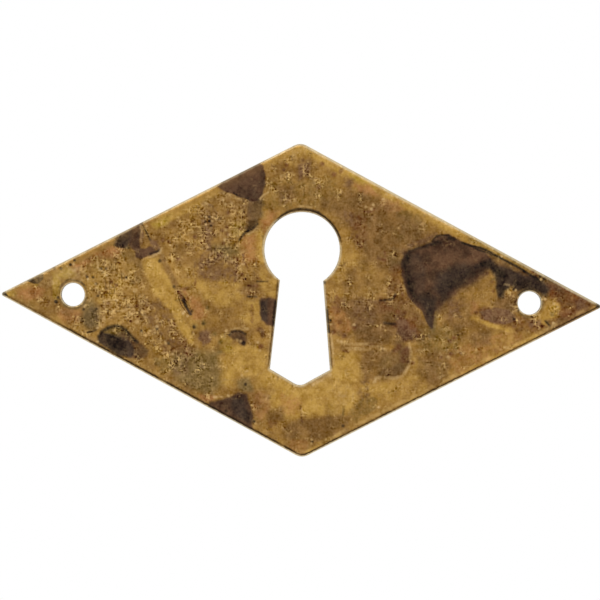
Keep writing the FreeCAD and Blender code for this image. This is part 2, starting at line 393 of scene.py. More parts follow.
UPPER_MIDDLE: tuple[Mark, ...] = (
    Patch("upper stain", Film.STAIN, ((217, 186), (222, 182), (240, 172), (259, 163), (264, 166),
        (265, 172), (266, 184), (262, 195), (258, 200), (250, 202), (245, 198), (240, 197), (232, 194),
        (224, 191)), 0.12),
    Patch("umber end of the upper stain", Film.UMBER, ((217, 187), (228, 183), (230, 191), (222, 190)), 0.3,
        0.8),
    Patch("slate in the upper stain", Film.SLATE, ((232, 186), (250, 180), (258, 184), (256, 196),
        (244, 194)), 0.8, 0.3),
    Spots("specks at the upper stain's foot", Film.BLACK, ((236.5, 195), (248, 198), (259, 199.5),
        (234, 193))),
    Streak("light line under the upper stain", Film.PALE, ((224, 193), (232, 196), (238, 198.5), (243, 200),
        (247, 203.5)), 0.2, 0.14, 0.3),
    Patch("smear below the upper stain", Film.STAIN, ((248, 198), (262, 199), (262, 206), (260, 214),
        (258, 224), (254, 229), (249, 232), (245, 229), (247, 218), (250, 208)), 0.4, 0.56),
    Patch("grey of the smear", Film.GREY, ((248, 199), (263, 200), (262, 218), (250, 222)), 0.4, 0.7),
    Patch("deep end of the smear", Film.BLACK, ((249, 222), (258, 220), (255, 228), (248, 231)), 0.4, 0.55),
    Streak("line off the smear", Film.BLACK, ((257.5, 224), (252, 229), (247, 231.5), (243, 234.5),
        (239.5, 240)), 0.24, 0.14),
    Streak("light under the line", Film.PALE, ((248, 234), (253, 232), (257, 228)), 0.16, 0.14, 0.7),
    Streak("lights right of the stain", Film.PALE, ((260, 199), (264, 194.5), (268, 192.5)), 0.16, 0.12,
        0.6),
    Spots("lights below the stain", Film.PALE, ((225.5, 204), (223, 200), (232, 204), (206, 203)), 0.12,
        0.14, 0.7),
    Patch("plum specked spot", Film.PLUM, ((199, 207), (212, 206), (215, 214), (213, 226), (203, 224)), 0.5,
        0.38),
    Spots("light bars", Film.PALE, ((206, 217), (206, 224.5), (212.3, 217), (212.6, 221), (216, 219))),
    Spots("dark bars", Film.BLACK, ((209.5, 217), (209.5, 221), (205.2, 221.5), (211, 225.5), (205.5, 217)),
        0.13, 0.12, 0.8),
    Spots("dark pits", Film.UMBER, ((226.5, 227), (222, 230.5), (227, 233.5), (228.5, 212.5), (240.5, 228),
        (202, 243.5), (202, 235), (214, 234), (223, 243), (195, 237)), 0.2, 0.18),
    Spots("light pits", Film.PALE, ((226, 230), (192.5, 232), (238, 236), (229, 235), (225, 240)), 0.12,
        0.14, 0.6),
    Streak("light dash", Film.PALE, ((192.5, 227), (200, 227)), 0.14, 0.12, 0.5),
    Patch("yellow right of the pits", Film.YELLOW, ((232, 224), (243, 222), (243, 234), (234, 236)), 0.5,
        0.6),
    Patch("grey smudge", Film.GREY, ((210, 248), (220, 243), (236, 246), (240, 254), (228, 259),
        (216, 258)), 0.6),
    Spots("dark in the smudge", Film.UMBER, ((217.5, 256.5), (221, 254)), 0.25, 0.2, 0.7),
    Patch("plum upright", Film.PLUM, ((205, 226), (212, 226), (212, 250), (205, 252)), 0.5, 0.72),
    Patch("gold beside the bow", Film.GOLD, ((256, 232), (262, 229), (264, 250), (268, 262), (259, 264),
        (254, 248)), 0.4),
    Patch("tan beside the bow", Film.TAN, ((243, 237), (255, 235), (256, 262), (244, 262)), 0.6, 0.65),
    Patch("tan above the bow", Film.TAN, ((262, 222), (270, 212), (278, 210), (272, 222), (264, 232)), 0.5,
        0.8),
    Streak("umber marks", Film.UMBER, ((234, 257), (237.5, 259), (237, 264), (236, 268)), 0.18, 0.14, 0.9),
    Streak("umber marks by the bow", Film.UMBER, ((242.5, 254), (244, 261), (247, 267)), 0.18, 0.14),
    Spots("lights between the umber marks", Film.PALE, ((243.5, 264), (236.5, 278), (241, 269), (233, 261),
        (226, 256.5)), 0.12, 0.14, 0.42),
    Spots("darks between the umber marks", Film.UMBER, ((242, 274), (236.5, 274), (235.5, 280.5),
        (245, 279)), 0.18, 0.14, 0.85),
    Patch("top corner brown", Film.BROWN, ((300, 162), (309, 164), (309, 178), (299, 178)), 0.7, 0.7),
    Patch("top corner plum", Film.PLUM, ((298, 165), (308, 163), (308, 172), (300, 178)), 0.5, 0.6),
    Patch("top corner gold", Film.GOLD, ((290, 148), (302, 143), (314, 150), (306, 158), (296, 165),
        (288, 162)), 0.6, 0.45),
    Streak("light upright", Film.PALE, ((293.5, 153), (294, 160)), 0.3, 0.25, 0.4),
    Spots("umber specks right of the top", Film.UMBER, ((322, 164), (334, 174.5), (318.5, 187), (341, 171)),
        0.25, 0.2, 0.8),
    Spots("umber specks at the top", Film.UMBER, ((286.5, 165), (284, 170), (303, 160), (301, 172)), 0.18,
        0.16, 0.8),
    Patch("yellow edge band", Film.YELLOW, ((350, 172), (366, 180), (376, 188), (366, 190), (352, 178)),
        0.3, 0.8),
    Patch("tan under the edge", Film.TAN, ((355, 184), (370, 184), (378, 196), (362, 194)), 0.4, 0.8),
    Patch("plum below the edge", Film.PLUM, ((345, 177), (352, 180), (350, 188), (344, 186)), 0.4, 0.6),
    Patch("tan further down", Film.TAN, ((382, 201), (396, 203), (404, 210), (388, 212), (378, 208)), 0.6,
        0.7),
    Spots("edge beads", Film.PALE, ((386.5, 194), (391.5, 195.5), (397, 197), (403, 203), (383, 199)), 0.12,
        0.14, 0.8),
    Streak("olive round the beads", Film.OLIVE, ((385, 191), (392, 193), (399, 197), (405, 200)), 0.2,
        0.14),
    Spots("crumbs", Film.PALE, ((373, 204.5), (366, 207), (371.5, 209)), 0.12, 0.14, 0.6),
    Streak("shade of the crumbs", Film.UMBER, ((365, 211.5), (370, 211.5), (374, 209)), 0.2, 0.16, 0.8),
    Patch("brown over the bow", Film.BROWN, ((277, 186), (294, 185), (295, 201), (280, 204)), 0.5, 0.75),
    Patch("curled top", Film.PITS, ((268, 152), (300, 146), (322, 160), (330, 176), (316, 204), (290, 206),
        (270, 198)), 1, 0.6),
    Patch("curls by the umber marks", Film.PITS, ((230, 250), (248, 250), (250, 284), (232, 284)), 0.5),
    Patch("brown field below the stain", Film.BROWN, ((206, 196), (234, 190), (246, 206), (240, 228),
        (226, 238), (206, 228)), 1, 0.45),
)

RIGHT_OF_BOW: tuple[Mark, ...] = (
    Patch("brown field", Film.BROWN, ((322, 206), (334, 192), (350, 190), (372, 196), (392, 206),
        (420, 226), (426, 238), (408, 246), (402, 262), (398, 276), (380, 268), (364, 262), (361, 245),
        (352, 226), (336, 214)), 0.9, 0.68),
    Patch("olive before the great stain", Film.OLIVE, ((398, 212), (416, 216), (424, 230), (408, 244),
        (398, 236)), 0.8, 0.52),
    Patch("grey before the great stain", Film.GREY, ((384, 256), (400, 252), (403, 266), (392, 270)), 0.5,
        0.8),
    Patch("gold along the bow", Film.GOLD, ((340, 240), (352, 244), (356, 262), (346, 276), (336, 282),
        (333, 276), (341, 260)), 0.5, 0.38),
    Patch("umber field", Film.UMBER, ((352, 216), (364, 218), (366, 240), (358, 246), (352, 236)), 0.5,
        0.5),
    Spots("umber dots", Film.UMBER, ((357, 219), (356.5, 236.5), (357, 223), (361, 246), (356, 229)), 0.2,
        0.18, 0.85),
    Patch("plum above the field", Film.PLUM, ((345, 212), (352, 212), (352, 224), (346, 222)), 0.4, 0.5),
    Patch("brown by the neck", Film.BROWN, ((346, 268), (356, 270), (358, 280), (348, 282)), 0.5, 0.6),
    Patch("pits below the field", Film.PITS, ((328, 268), (350, 264), (356, 284), (400, 284), (402, 300),
        (350, 300), (334, 320), (330, 290)), 1, 0.7),
    Streak("umber bar", Film.UMBER, ((378, 258.5), (385, 260)), 0.3, 0.16, 0.8),
    Streak("upper umber bar", Film.UMBER, ((385, 252), (385.5, 256)), 0.2, 0.14, 0.8),
    Patch("olive above the bow", Film.OLIVE, ((264, 186), (280, 182), (300, 184), (330, 180), (334, 192),
        (322, 206), (304, 203), (286, 205), (274, 210), (266, 204)), 0.9, 0.42),
    Patch("umber by the great stain", Film.UMBER, ((392, 268), (401, 264), (404, 286), (408, 300),
        (400, 306), (390, 292)), 0.5, 0.5),
    Patch("brown strip by the neck", Film.BROWN, ((346, 284), (366, 286), (366, 302), (346, 302)), 0.6,
        0.45),
    Patch("gold in the brown field", Film.GOLD, ((356, 256), (374, 257), (373, 272), (358, 270)), 0.6,
        0.36),
)

GREAT_STAIN: tuple[Mark, ...] = (
    Patch("great stain", Film.STAIN, ((401, 263), (404, 254), (410, 250), (424, 246), (432, 241),
        (438, 235), (449, 234), (455, 238), (463, 242), (474, 246), (486, 252), (492, 260), (486, 268),
        (478, 274), (468, 281), (459, 288), (449, 295), (441, 302), (436, 311), (434, 319), (432, 329),
        (427, 322), (422, 312), (414, 304), (408, 297), (405, 286), (402, 272)), 0.12),
    Patch("soft low side", Film.STAIN, ((440, 262), (492, 258), (492, 266), (486, 275), (478, 281),
        (470, 287), (462, 292), (454, 297), (446, 304), (438, 312), (432, 300)), 0.6, 0.86),
    Patch("stain up to the fold", Film.STAIN, ((456, 241), (468, 244), (481, 248), (497, 256), (515, 266),
        (527, 273), (542, 281), (549, 289), (540, 292), (520, 286), (500, 274), (485, 264), (468, 258)),
        0.25, 0.55),
    Patch("slate left side", Film.SLATE, ((408, 256), (418, 254), (424, 268), (424, 300), (415, 298),
        (409, 280)), 0.6, 0.55),
    Patch("dark lower right", Film.SLATE, ((438, 272), (454, 266), (476, 264), (470, 276), (456, 288),
        (442, 300), (434, 288)), 0.7),
    Patch("black left rim", Film.BLACK, ((401, 263), (404, 254), (411, 250), (411, 258), (408, 268),
        (412, 282), (417, 299), (409, 296), (404, 278)), 0.5, 0.85),
    Streak("black upper rim", Film.BLACK, ((409, 251.5), (416, 249), (426, 246), (434, 243.5), (440, 242)),
        0.36, 0.36, 0.95),
    Streak("plum fringe", Film.PLUM, ((404, 252), (411, 246), (419, 243.5), (427, 239.5), (434, 235)), 0.5,
        0.35, 0.7),
    Streak("black crown", Film.BLACK, ((432, 241), (437, 236), (442, 235), (448.5, 235.5), (452, 239.5)),
        0.2, 0.15, 0.8),
    Spots("black knots", Film.BLACK, ((453.5, 239), (438, 242), (449, 238)), 0.2, 0.18, 0.9),
    Patch("slate tail", Film.SLATE, ((418, 296), (437, 298), (433.5, 316), (431, 329), (425, 314)), 0.4,
        0.95),
    Patch("slate foot", Film.SLATE, ((412, 296), (430, 294), (438, 298), (434, 304), (424, 306)), 0.4, 0.6),
    Patch("slate band", Film.SLATE, ((470, 266), (480, 262), (490, 259), (500, 265), (512, 270), (524, 275),
        (536, 276), (546, 283), (550, 290), (546, 297), (541, 293), (534, 289), (526, 290), (518, 292),
        (511, 286), (505, 290), (503, 298), (498, 297), (495, 288), (497, 280), (493, 274), (490, 268),
        (482, 268), (474, 270)), 0.35, 0.85),
    Patch("black heart of the band", Film.BLACK, ((480, 262), (490, 261), (500, 269), (508, 274),
        (506, 280), (497, 278), (490, 267), (482, 267)), 0.4, 0.75),
    Patch("black limb of the band", Film.BLACK, ((497, 280), (503, 280), (505, 286), (503, 297), (499, 296),
        (496, 288)), 0.3, 0.52),
    Streak("light in the band", Film.PALE, ((504.5, 284.5), (509, 285)), 0.14, 0.14, 0.42),
    Streak("grey light in the band", Film.GREY, ((502, 292), (505, 289), (508, 288)), 0.35, 0.2),
    Streak("grey above the limb", Film.GREY, ((492, 279.5), (500, 279), (505, 279.5)), 0.2, 0.2, 0.7),
    Streak("fold line", Film.BLACK, ((462, 242.5), (470, 245.5), (481, 248), (488, 251), (494, 254.4),
        (502, 258.7), (510, 262.8), (515, 265.6), (521, 269), (527, 272.9), (534, 277), (541, 281)), 0.26,
        0.12),
    Streak("lower fold line", Film.BLACK, ((474, 248), (481, 251), (486, 252), (492, 255)), 0.16, 0.12,
        0.9),
    # Painted glints on the fold.
    Spots("sparks on the fold", Film.PALE, ((501.5, 256.3), (541, 279.4))),
    Streak("olive outside the fold", Film.OLIVE, ((470, 239), (480, 243.5), (490, 248.5), (500, 254),
        (512, 260.5), (524, 267), (536, 273.5), (548, 280.5)), 0.42, 0.25, 0.55),
    Spots("crumbs on the edge", Film.UMBER, ((536, 275), (533, 272), (538, 278), (531, 276)), 0.2, 0.16,
        0.9),
    Spots("dark crumbs on the edge", Film.BLACK, ((544, 279), (540, 276.5), (537, 280)), 0.14, 0.12, 0.9),
    Patch("black over the hole", Film.BLACK, ((516, 276), (528, 281), (540, 286), (548, 290), (544, 295),
        (536, 289), (526, 288), (518, 288), (512, 282)), 0.35, 0.54),
    Patch("black by the lobe", Film.BLACK, ((456, 278), (470, 270), (484, 264), (490, 266), (480, 272),
        (466, 281), (452, 290), (448, 288)), 0.5, 0.5),
    Patch("blackest lower right", Film.BLACK, ((419, 298), (428, 294), (440, 287), (456, 275), (467, 268),
        (458, 285), (442, 297), (431, 312), (424, 311)), 0.6, 0.38),
)

RIGHT_POINT: tuple[Mark, ...] = (
    Spots("dots on the lobe", Film.UMBER, ((487, 273.5), (492, 282), (493.5, 291), (484, 275)), 0.18, 0.16,
        0.7),
    Patch("plum patch", Film.PLUM, ((479, 312), (486, 310), (496, 307), (508, 309), (515, 314), (517, 321),
        (508, 324), (496, 324), (485, 320)), 0.15),
    Patch("brown over the plum patch", Film.BROWN, ((492, 305), (500, 296), (511, 293), (515, 304),
        (513, 311), (498, 307)), 0.3, 0.9),
    Streak("dark foot of the plum patch", Film.UMBER, ((484, 318), (494, 321.5), (504, 323)), 0.25, 0.16,
        0.9),
    Streak("gold line under the plum patch", Film.GOLD, ((472, 318), (480, 320), (490, 325), (500, 328),
        (508, 331)), 0.35, 0.2),
    Patch("brown by the hole", Film.BROWN, ((504, 295), (517, 292), (515, 312), (506, 312)), 0.4, 0.8),
    Patch("umber below the hole", Film.UMBER, ((503, 323), (516, 317), (528, 318), (536, 322), (546, 328),
        (534, 332), (514, 331)), 0.4, 0.6),
    Patch("plum below the hole", Film.PLUM, ((526, 319), (540, 320), (544, 327), (532, 328)), 0.4, 0.6),
    Spots("lights by the right hole", Film.PALE, ((516, 290), (515.5, 307), (517, 310), (545, 299)), 0.12,
        0.12),
    Spots("darks by the right hole", Film.BLACK, ((519.5, 295), (514, 289.5), (518.5, 309), (514, 319)),
        0.15, 0.12),
    # Painted shade along the pin hole's upper rim.
    Streak("shade over the right hole", Film.BLACK, ((520, 294), (524, 290.5), (529, 289), (534, 289.5),
        (538, 292)), 0.22, 0.14),
    # Painted shadow right of and below the pin hole.
    Streak("shadow right of the hole", Film.GREY, ((541, 296), (542.5, 302), (541, 309)), 0.22, 0.14),
    Streak("shadow under the right hole", Film.GREY, ((521, 313), (525, 316.5), (531, 317), (537, 314.5)),
        0.25, 0.16),
    Patch("gold right of the hole", Film.GOLD, ((548, 302), (560, 304), (562, 310), (556, 319), (546, 322),
        (538, 318), (542, 310)), 0.4, 0.85),
    Spots("olive marks right of the hole", Film.OLIVE, ((552, 314), (548, 322), (554, 326)), 0.25, 0.16,
        0.9),
    Spots("light right of the hole", Film.PALE, ((554, 304), (553, 323), (558, 307)), 0.12, 0.16, 0.6),
    Streak("crust right of the hole", Film.BLACK, ((545, 321), (550, 326)), 0.18, 0.14, 0.8),
    Patch("umber point", Film.UMBER, ((546, 284), (560, 283), (575, 290), (590, 298), (592, 306),
        (580, 313), (566, 318), (558, 316), (560, 308), (556, 299), (549, 296)), 0.35, 0.85),
    Patch("plum in the point", Film.PLUM, ((574, 300), (586, 300), (586, 308), (576, 309)), 0.4, 0.8),
    Patch("olive along the point", Film.OLIVE, ((550, 281), (562, 286), (577, 294), (570, 296), (552, 287)),
        0.25),
    Patch("right tip crust", Film.BLACK, ((597, 301), (604, 304), (604, 309), (596, 308)), 0.15),
    Patch("brown by the low point edge", Film.BROWN, ((548, 326), (562, 315), (580, 309), (590, 309),
        (574, 320), (556, 329), (540, 334))),
    Patch("umber end of the plum patch", Film.UMBER, ((478, 309), (490, 307), (492, 320), (480, 320)), 0.3,
        0.85),
    Patch("umber left of the point", Film.UMBER, ((546, 286), (562, 286), (562, 300), (550, 298))),
    Patch("curled point", Film.PITS, ((500, 286), (516, 280), (520, 292), (545, 296), (562, 300),
        (560, 320), (530, 328), (506, 318)), 0.6, 0.6),
    Patch("umber low point edge", Film.UMBER, ((548, 320), (566, 312), (584, 306), (592, 308), (574, 319),
        (556, 328)), 0.4, 0.5),
    Patch("brown left of the tail's end", Film.BROWN, ((462, 286), (472, 292), (474, 306), (458, 304)), 0.5,
        0.5),
    Patch("stain right of the hole", Film.STAIN, ((545, 275), (560, 283), (561, 291), (548, 287)), 0.3,
        0.45),
)

LOWER_LEFT: tuple[Mark, ...] = (
    Patch("low stain", Film.SLATE, ((98, 336), (102, 332), (112, 334), (124, 338), (132, 344), (135, 351),
        (132, 357), (122, 356), (112, 352), (104, 347), (98, 342)), 0.2, 0.92),
    Patch("brown side of the low stain", Film.STAIN, ((118, 334), (128, 334), (136, 340), (143, 346),
        (148, 351), (147, 356), (138, 359), (128, 357), (131, 346)), 0.3, 0.66),
    Patch("olive crown of the low stain", Film.OLIVE, ((100, 332), (108, 326), (118, 324), (127, 328),
        (132, 336), (124, 339), (108, 336)), 0.25),
    Streak("dark arc over the low stain", Film.BLACK, ((99, 336), (103, 330.5), (108, 328), (115, 325.8),
        (120, 326.5), (125, 330), (130, 335), (137, 342)), 0.34, 0.2, 0.75),
    Patch("black heart of the low stain", Film.BLACK, ((105, 333), (112, 335), (120, 339), (127, 344),
        (126, 350), (117, 350), (107, 344)), 0.35, 0.65),
    Spots("light left of the low stain", Film.PALE, ((97.5, 341.5), (97, 328)), 0.12, 0.14, 0.7),
    Patch("plum beyond the scrape", Film.PLUM, ((144, 300), (158, 304), (172, 320), (176, 340), (170, 350),
        (158, 340), (150, 320)), 0.8, 0.4),
    Streak("pale line across", Film.PALE, ((141, 310), (145, 316), (148, 322)), 0.2, 0.2, 0.4),
    Streak("short pale line", Film.PALE, ((140, 296), (140.5, 304)), 0.2, 0.2, 0.35),
    Spots("light flecks", Film.PALE, ((157, 326.5), (155, 333), (165.5, 343.5), (173, 354), (141.5, 332.5)),
        0.12, 0.14, 0.75),
    Spots("dark flecks", Film.BLACK, ((168.7, 343.3), (141.5, 331), (157, 329)), 0.15, 0.1, 0.85),
    Spots("umber flecks", Film.UMBER, ((165, 346), (161, 348), (173, 324), (176, 334), (163.5, 352)), 0.2,
        0.18, 0.5),
    Patch("gold foot of the scrape", Film.GOLD, ((181, 328), (191, 328), (192, 338), (186, 339)), 0.35,
        0.85),
    Patch("umber under the scrape", Film.UMBER, ((170, 340), (180, 338), (194, 348), (192, 356), (182, 356),
        (172, 350)), 0.5, 0.5),
    Patch("grey field", Film.GREY, ((172, 353), (190, 348), (218, 352), (222, 370), (220, 386), (212, 394),
        (198, 392), (184, 384), (172, 372)), 0.7, 0.85),
    Patch("plum in the grey field", Film.PLUM, ((172, 360), (186, 360), (186, 372), (174, 372)), 0.5, 0.4),
    Spots("lights in the grey field", Film.PALE, ((193, 374), (183.5, 375), (204, 367), (202, 363)), 0.12,
        0.16, 0.45),
    Patch("low gold field", Film.GOLD, ((224, 352), (236, 345), (256, 347), (267, 354), (268, 366),
        (256, 377), (240, 378), (232, 386), (222, 384), (221, 368)), 0.7, 0.75),
    Spots("light under the low gold field", Film.PALE, ((228.5, 395.5), (242, 375.5), (247.5, 371)), 0.12,
        0.14, 0.7),
    Spots("dark dot below the low gold field", Film.BLACK, ((245.5, 384.3),), 0.16, 0.12, 0.8),
    Patch("grey above the low triangle", Film.GREY, ((236, 380), (249, 378), (254, 392), (240, 392)), 0.4,
        0.9),
    Patch("tan light on the edge", Film.TAN, ((198, 395), (208, 394), (216, 396), (212, 401), (204, 402)),
        0.25),
    Streak("pale on the edge", Film.PALE, ((214, 397), (222, 397)), 0.16, 0.14, 0.6),
    Patch("low triangle", Film.STAIN, ((210, 402), (222, 399), (230, 397), (238, 392), (247, 394),
        (249, 402), (252, 410), (253, 416), (253, 436), (204, 412)), 0.2),
    Patch("dark heart of the triangle", Film.SLATE, ((232, 398), (244, 398), (247, 408), (250, 418),
        (249, 424), (238, 418), (228, 408)), 0.45, 0.85),
    Spots("crust in the triangle", Film.BLACK, ((254, 421.5), (248.5, 418), (226, 411)), 0.18, 0.16),
    Patch("tan right of the triangle", Film.TAN, ((255, 392), (266, 394), (268, 410), (260, 418),
        (254, 408)), 0.6, 0.6),
    Patch("brown right of the triangle", Film.BROWN, ((266, 410), (282, 408), (284, 420), (268, 420)), 0.6,
        0.6),
    Spots("umber smudge", Film.UMBER, ((270.5, 424), (274, 423)), 0.3, 0.3, 0.5),
    Patch("olive beyond the tan", Film.OLIVE, ((154, 359), (172, 358), (176, 369), (162, 372)), 0.4, 0.6),
    Patch("curls under the scrape", Film.PITS, ((140, 322), (170, 322), (200, 346), (214, 380), (196, 388),
        (170, 366), (150, 344)), 0.8, 0.6),
    Patch("gold by the low edge", Film.GOLD, ((144, 350), (160, 349), (166, 360), (152, 362)), 0.6, 0.4),
    Patch("brown left of the foot", Film.BROWN, ((248, 404), (262, 388), (273, 390), (268, 404), (258, 422),
        (248, 418)), 0.6, 0.42),
    Patch("brown by the low stain's edge", Film.BROWN, ((86, 336), (100, 342), (108, 352), (96, 350)), 0.4,
        0.5),
)

MIDDLE_LEFT: tuple[Mark, ...] = (
    Patch("plum smudge", Film.PLUM, ((200, 256), (212, 250), (226, 258), (236, 262), (236, 276), (222, 278),
        (212, 280), (203, 278), (198, 266)), 0.8, 0.55),
    Streak("brown in the smudge", Film.BROWN, ((209, 262), (212, 274), (216, 279)), 0.5, 0.4, 0.9),
    Patch("middle gold", Film.GOLD, ((194, 281), (212, 280), (236, 283), (246, 290), (240, 300), (222, 300),
        (206, 298), (198, 290)), 0.6, 0.6),
    Streak("umber upright", Film.UMBER, ((195.5, 279), (195, 288)), 0.16, 0.14, 0.7),
    Streak("long scratch", Film.BLACK, ((257, 281.3), (267.5, 281.5)), 0.15, 0.12, 0.85),
    Streak("scratch over the long scratch", Film.UMBER, ((256, 277.5), (261, 279.5)), 0.18, 0.14, 0.7),
    Streak("umber scratch", Film.UMBER, ((248, 285.5), (257, 286)), 0.24, 0.14, 0.8),
    Streak("third scratch", Film.UMBER, ((247, 292.5), (256.5, 292.5)), 0.13, 0.12, 0.85),
    Streak("fourth scratch", Film.BLACK, ((247.5, 296.5), (256.5, 296.7)), 0.15, 0.12, 0.75),
    Patch("brown by the scratches", Film.BROWN, ((238, 290), (250, 284), (257, 284), (257, 297),
        (246, 298)), 0.4, 0.8),
    Spots("olive dots", Film.OLIVE, ((207.5, 308), (203.5, 323), (194.5, 326), (214.5, 334), (220, 342),
        (220, 352)), 0.25, 0.2),
    Spots("dark dots", Film.BLACK, ((203.5, 323.5), (194, 327), (192, 311)), 0.14, 0.14, 0.7),
    Patch("gold upright by the slot", Film.GOLD, ((244, 302), (258, 302), (260, 318), (248, 324),
        (242, 318)), 0.5, 0.55),
    Streak("upright scratch", Film.UMBER, ((252, 306), (252, 321)), 0.3, 0.2, 0.6),
    Patch("slot stain", Film.STAIN, ((260, 298), (276, 299), (278, 304), (274, 327), (266, 325),
        (260, 316)), 0.15),
    Patch("dark side of the slot stain", Film.SLATE, ((259.5, 300), (267, 300), (268, 323), (261, 320)),
        0.25),
    Patch("slot edge crust", Film.BLACK, ((274, 301), (277, 300), (276, 312), (275, 326), (272, 326),
        (273, 314)), 0.14),
    Spots("dots under the slot stain", Film.UMBER, ((258.5, 329), (262, 331.5), (263, 335), (260.5, 346.5)),
        0.28, 0.2, 0.9),
    Spots("lights under the slot stain", Film.PALE, ((257.8, 342.5), (260, 350.5), (270, 327)), 0.12, 0.14,
        0.6),
    Streak("arc", Film.BLACK, ((229.5, 335), (231.5, 332), (236, 331), (241, 331.5), (245.5, 334)), 0.24,
        0.16, 0.7),
    Patch("arc belly", Film.STAIN, ((229, 335), (232, 331), (240, 330), (246, 334), (247, 340), (244, 346),
        (240, 344), (237, 339), (232, 338)), 0.25, 0.72),
    Spots("arc foot", Film.BLACK, ((243.5, 343),), 0.24, 0.16, 0.8),
    Streak("light over the arc", Film.PALE, ((231, 329), (238, 328), (245, 329.5)), 0.16, 0.14, 0.45),
    Spots("light in the arc", Film.PALE, ((237.5, 340), (240.5, 341), (247, 329), (226.5, 331)), 0.15, 0.14,
        0.7),
    Patch("plum smudge by the arc", Film.PLUM, ((199, 333), (204, 330), (211, 331), (211, 343), (203, 345),
        (198, 340)), 0.3, 0.95),
    Patch("yellow under the smudge", Film.YELLOW, ((222, 336), (230, 340), (230, 352), (222, 350)), 0.5,
        0.6),
    Streak("gouge core", Film.UMBER, ((178.5, 291), (182, 297), (184.5, 302)), 0.32, 0.16, 0.9),
    Streak("gouge deep end", Film.BLACK, ((183.2, 300), (186, 306.5)), 0.34, 0.14),
    Streak("gouge head", Film.UMBER, ((182, 288.5), (188, 288.5)), 0.3, 0.2, 0.6),
    # Painted highlight along the gouge's right lip, and painted glints in the gouge.
    Streak("gouge bright lip", Film.TAN, ((184, 290.5), (186, 294), (187.5, 298.5)), 0.3, 0.2, 0.8),
    Spots("gouge spark", Film.PALE, ((184.7, 311.4), (183, 313.5), (187.5, 316)), 0.12, 0.12),
    Streak("crack left of the gouge", Film.OLIVE, ((175, 300), (181, 300)), 0.14, 0.14, 0.9),
    Patch("tan right of the gouge", Film.TAN, ((190, 296), (198, 298), (206, 312), (200, 322), (193, 318)),
        0.5, 0.75),
    Patch("gold in the middle", Film.GOLD, ((214, 298), (230, 298), (234, 306), (218, 308)), 0.5, 0.7),
    Patch("gold below the gouge", Film.GOLD, ((188, 316), (202, 318), (202, 330), (192, 330)), 0.4, 0.5),
    Patch("gold by the neck", Film.GOLD, ((262, 268), (274, 276), (279, 284), (276, 296), (266, 292),
        (260, 280)), 0.5, 0.55),
    Patch("gold right of the scrape's foot", Film.GOLD, ((164, 284), (178, 286), (184, 300), (176, 304)),
        0.4, 0.6),
    Streak("gouge dark foot", Film.SLATE, ((187, 308.5), (190.5, 314)), 0.3, 0.12),
    Patch("gold over the gouge", Film.GOLD, ((179, 280), (192, 281), (191, 289), (181, 288)), 0.4, 0.42),
)

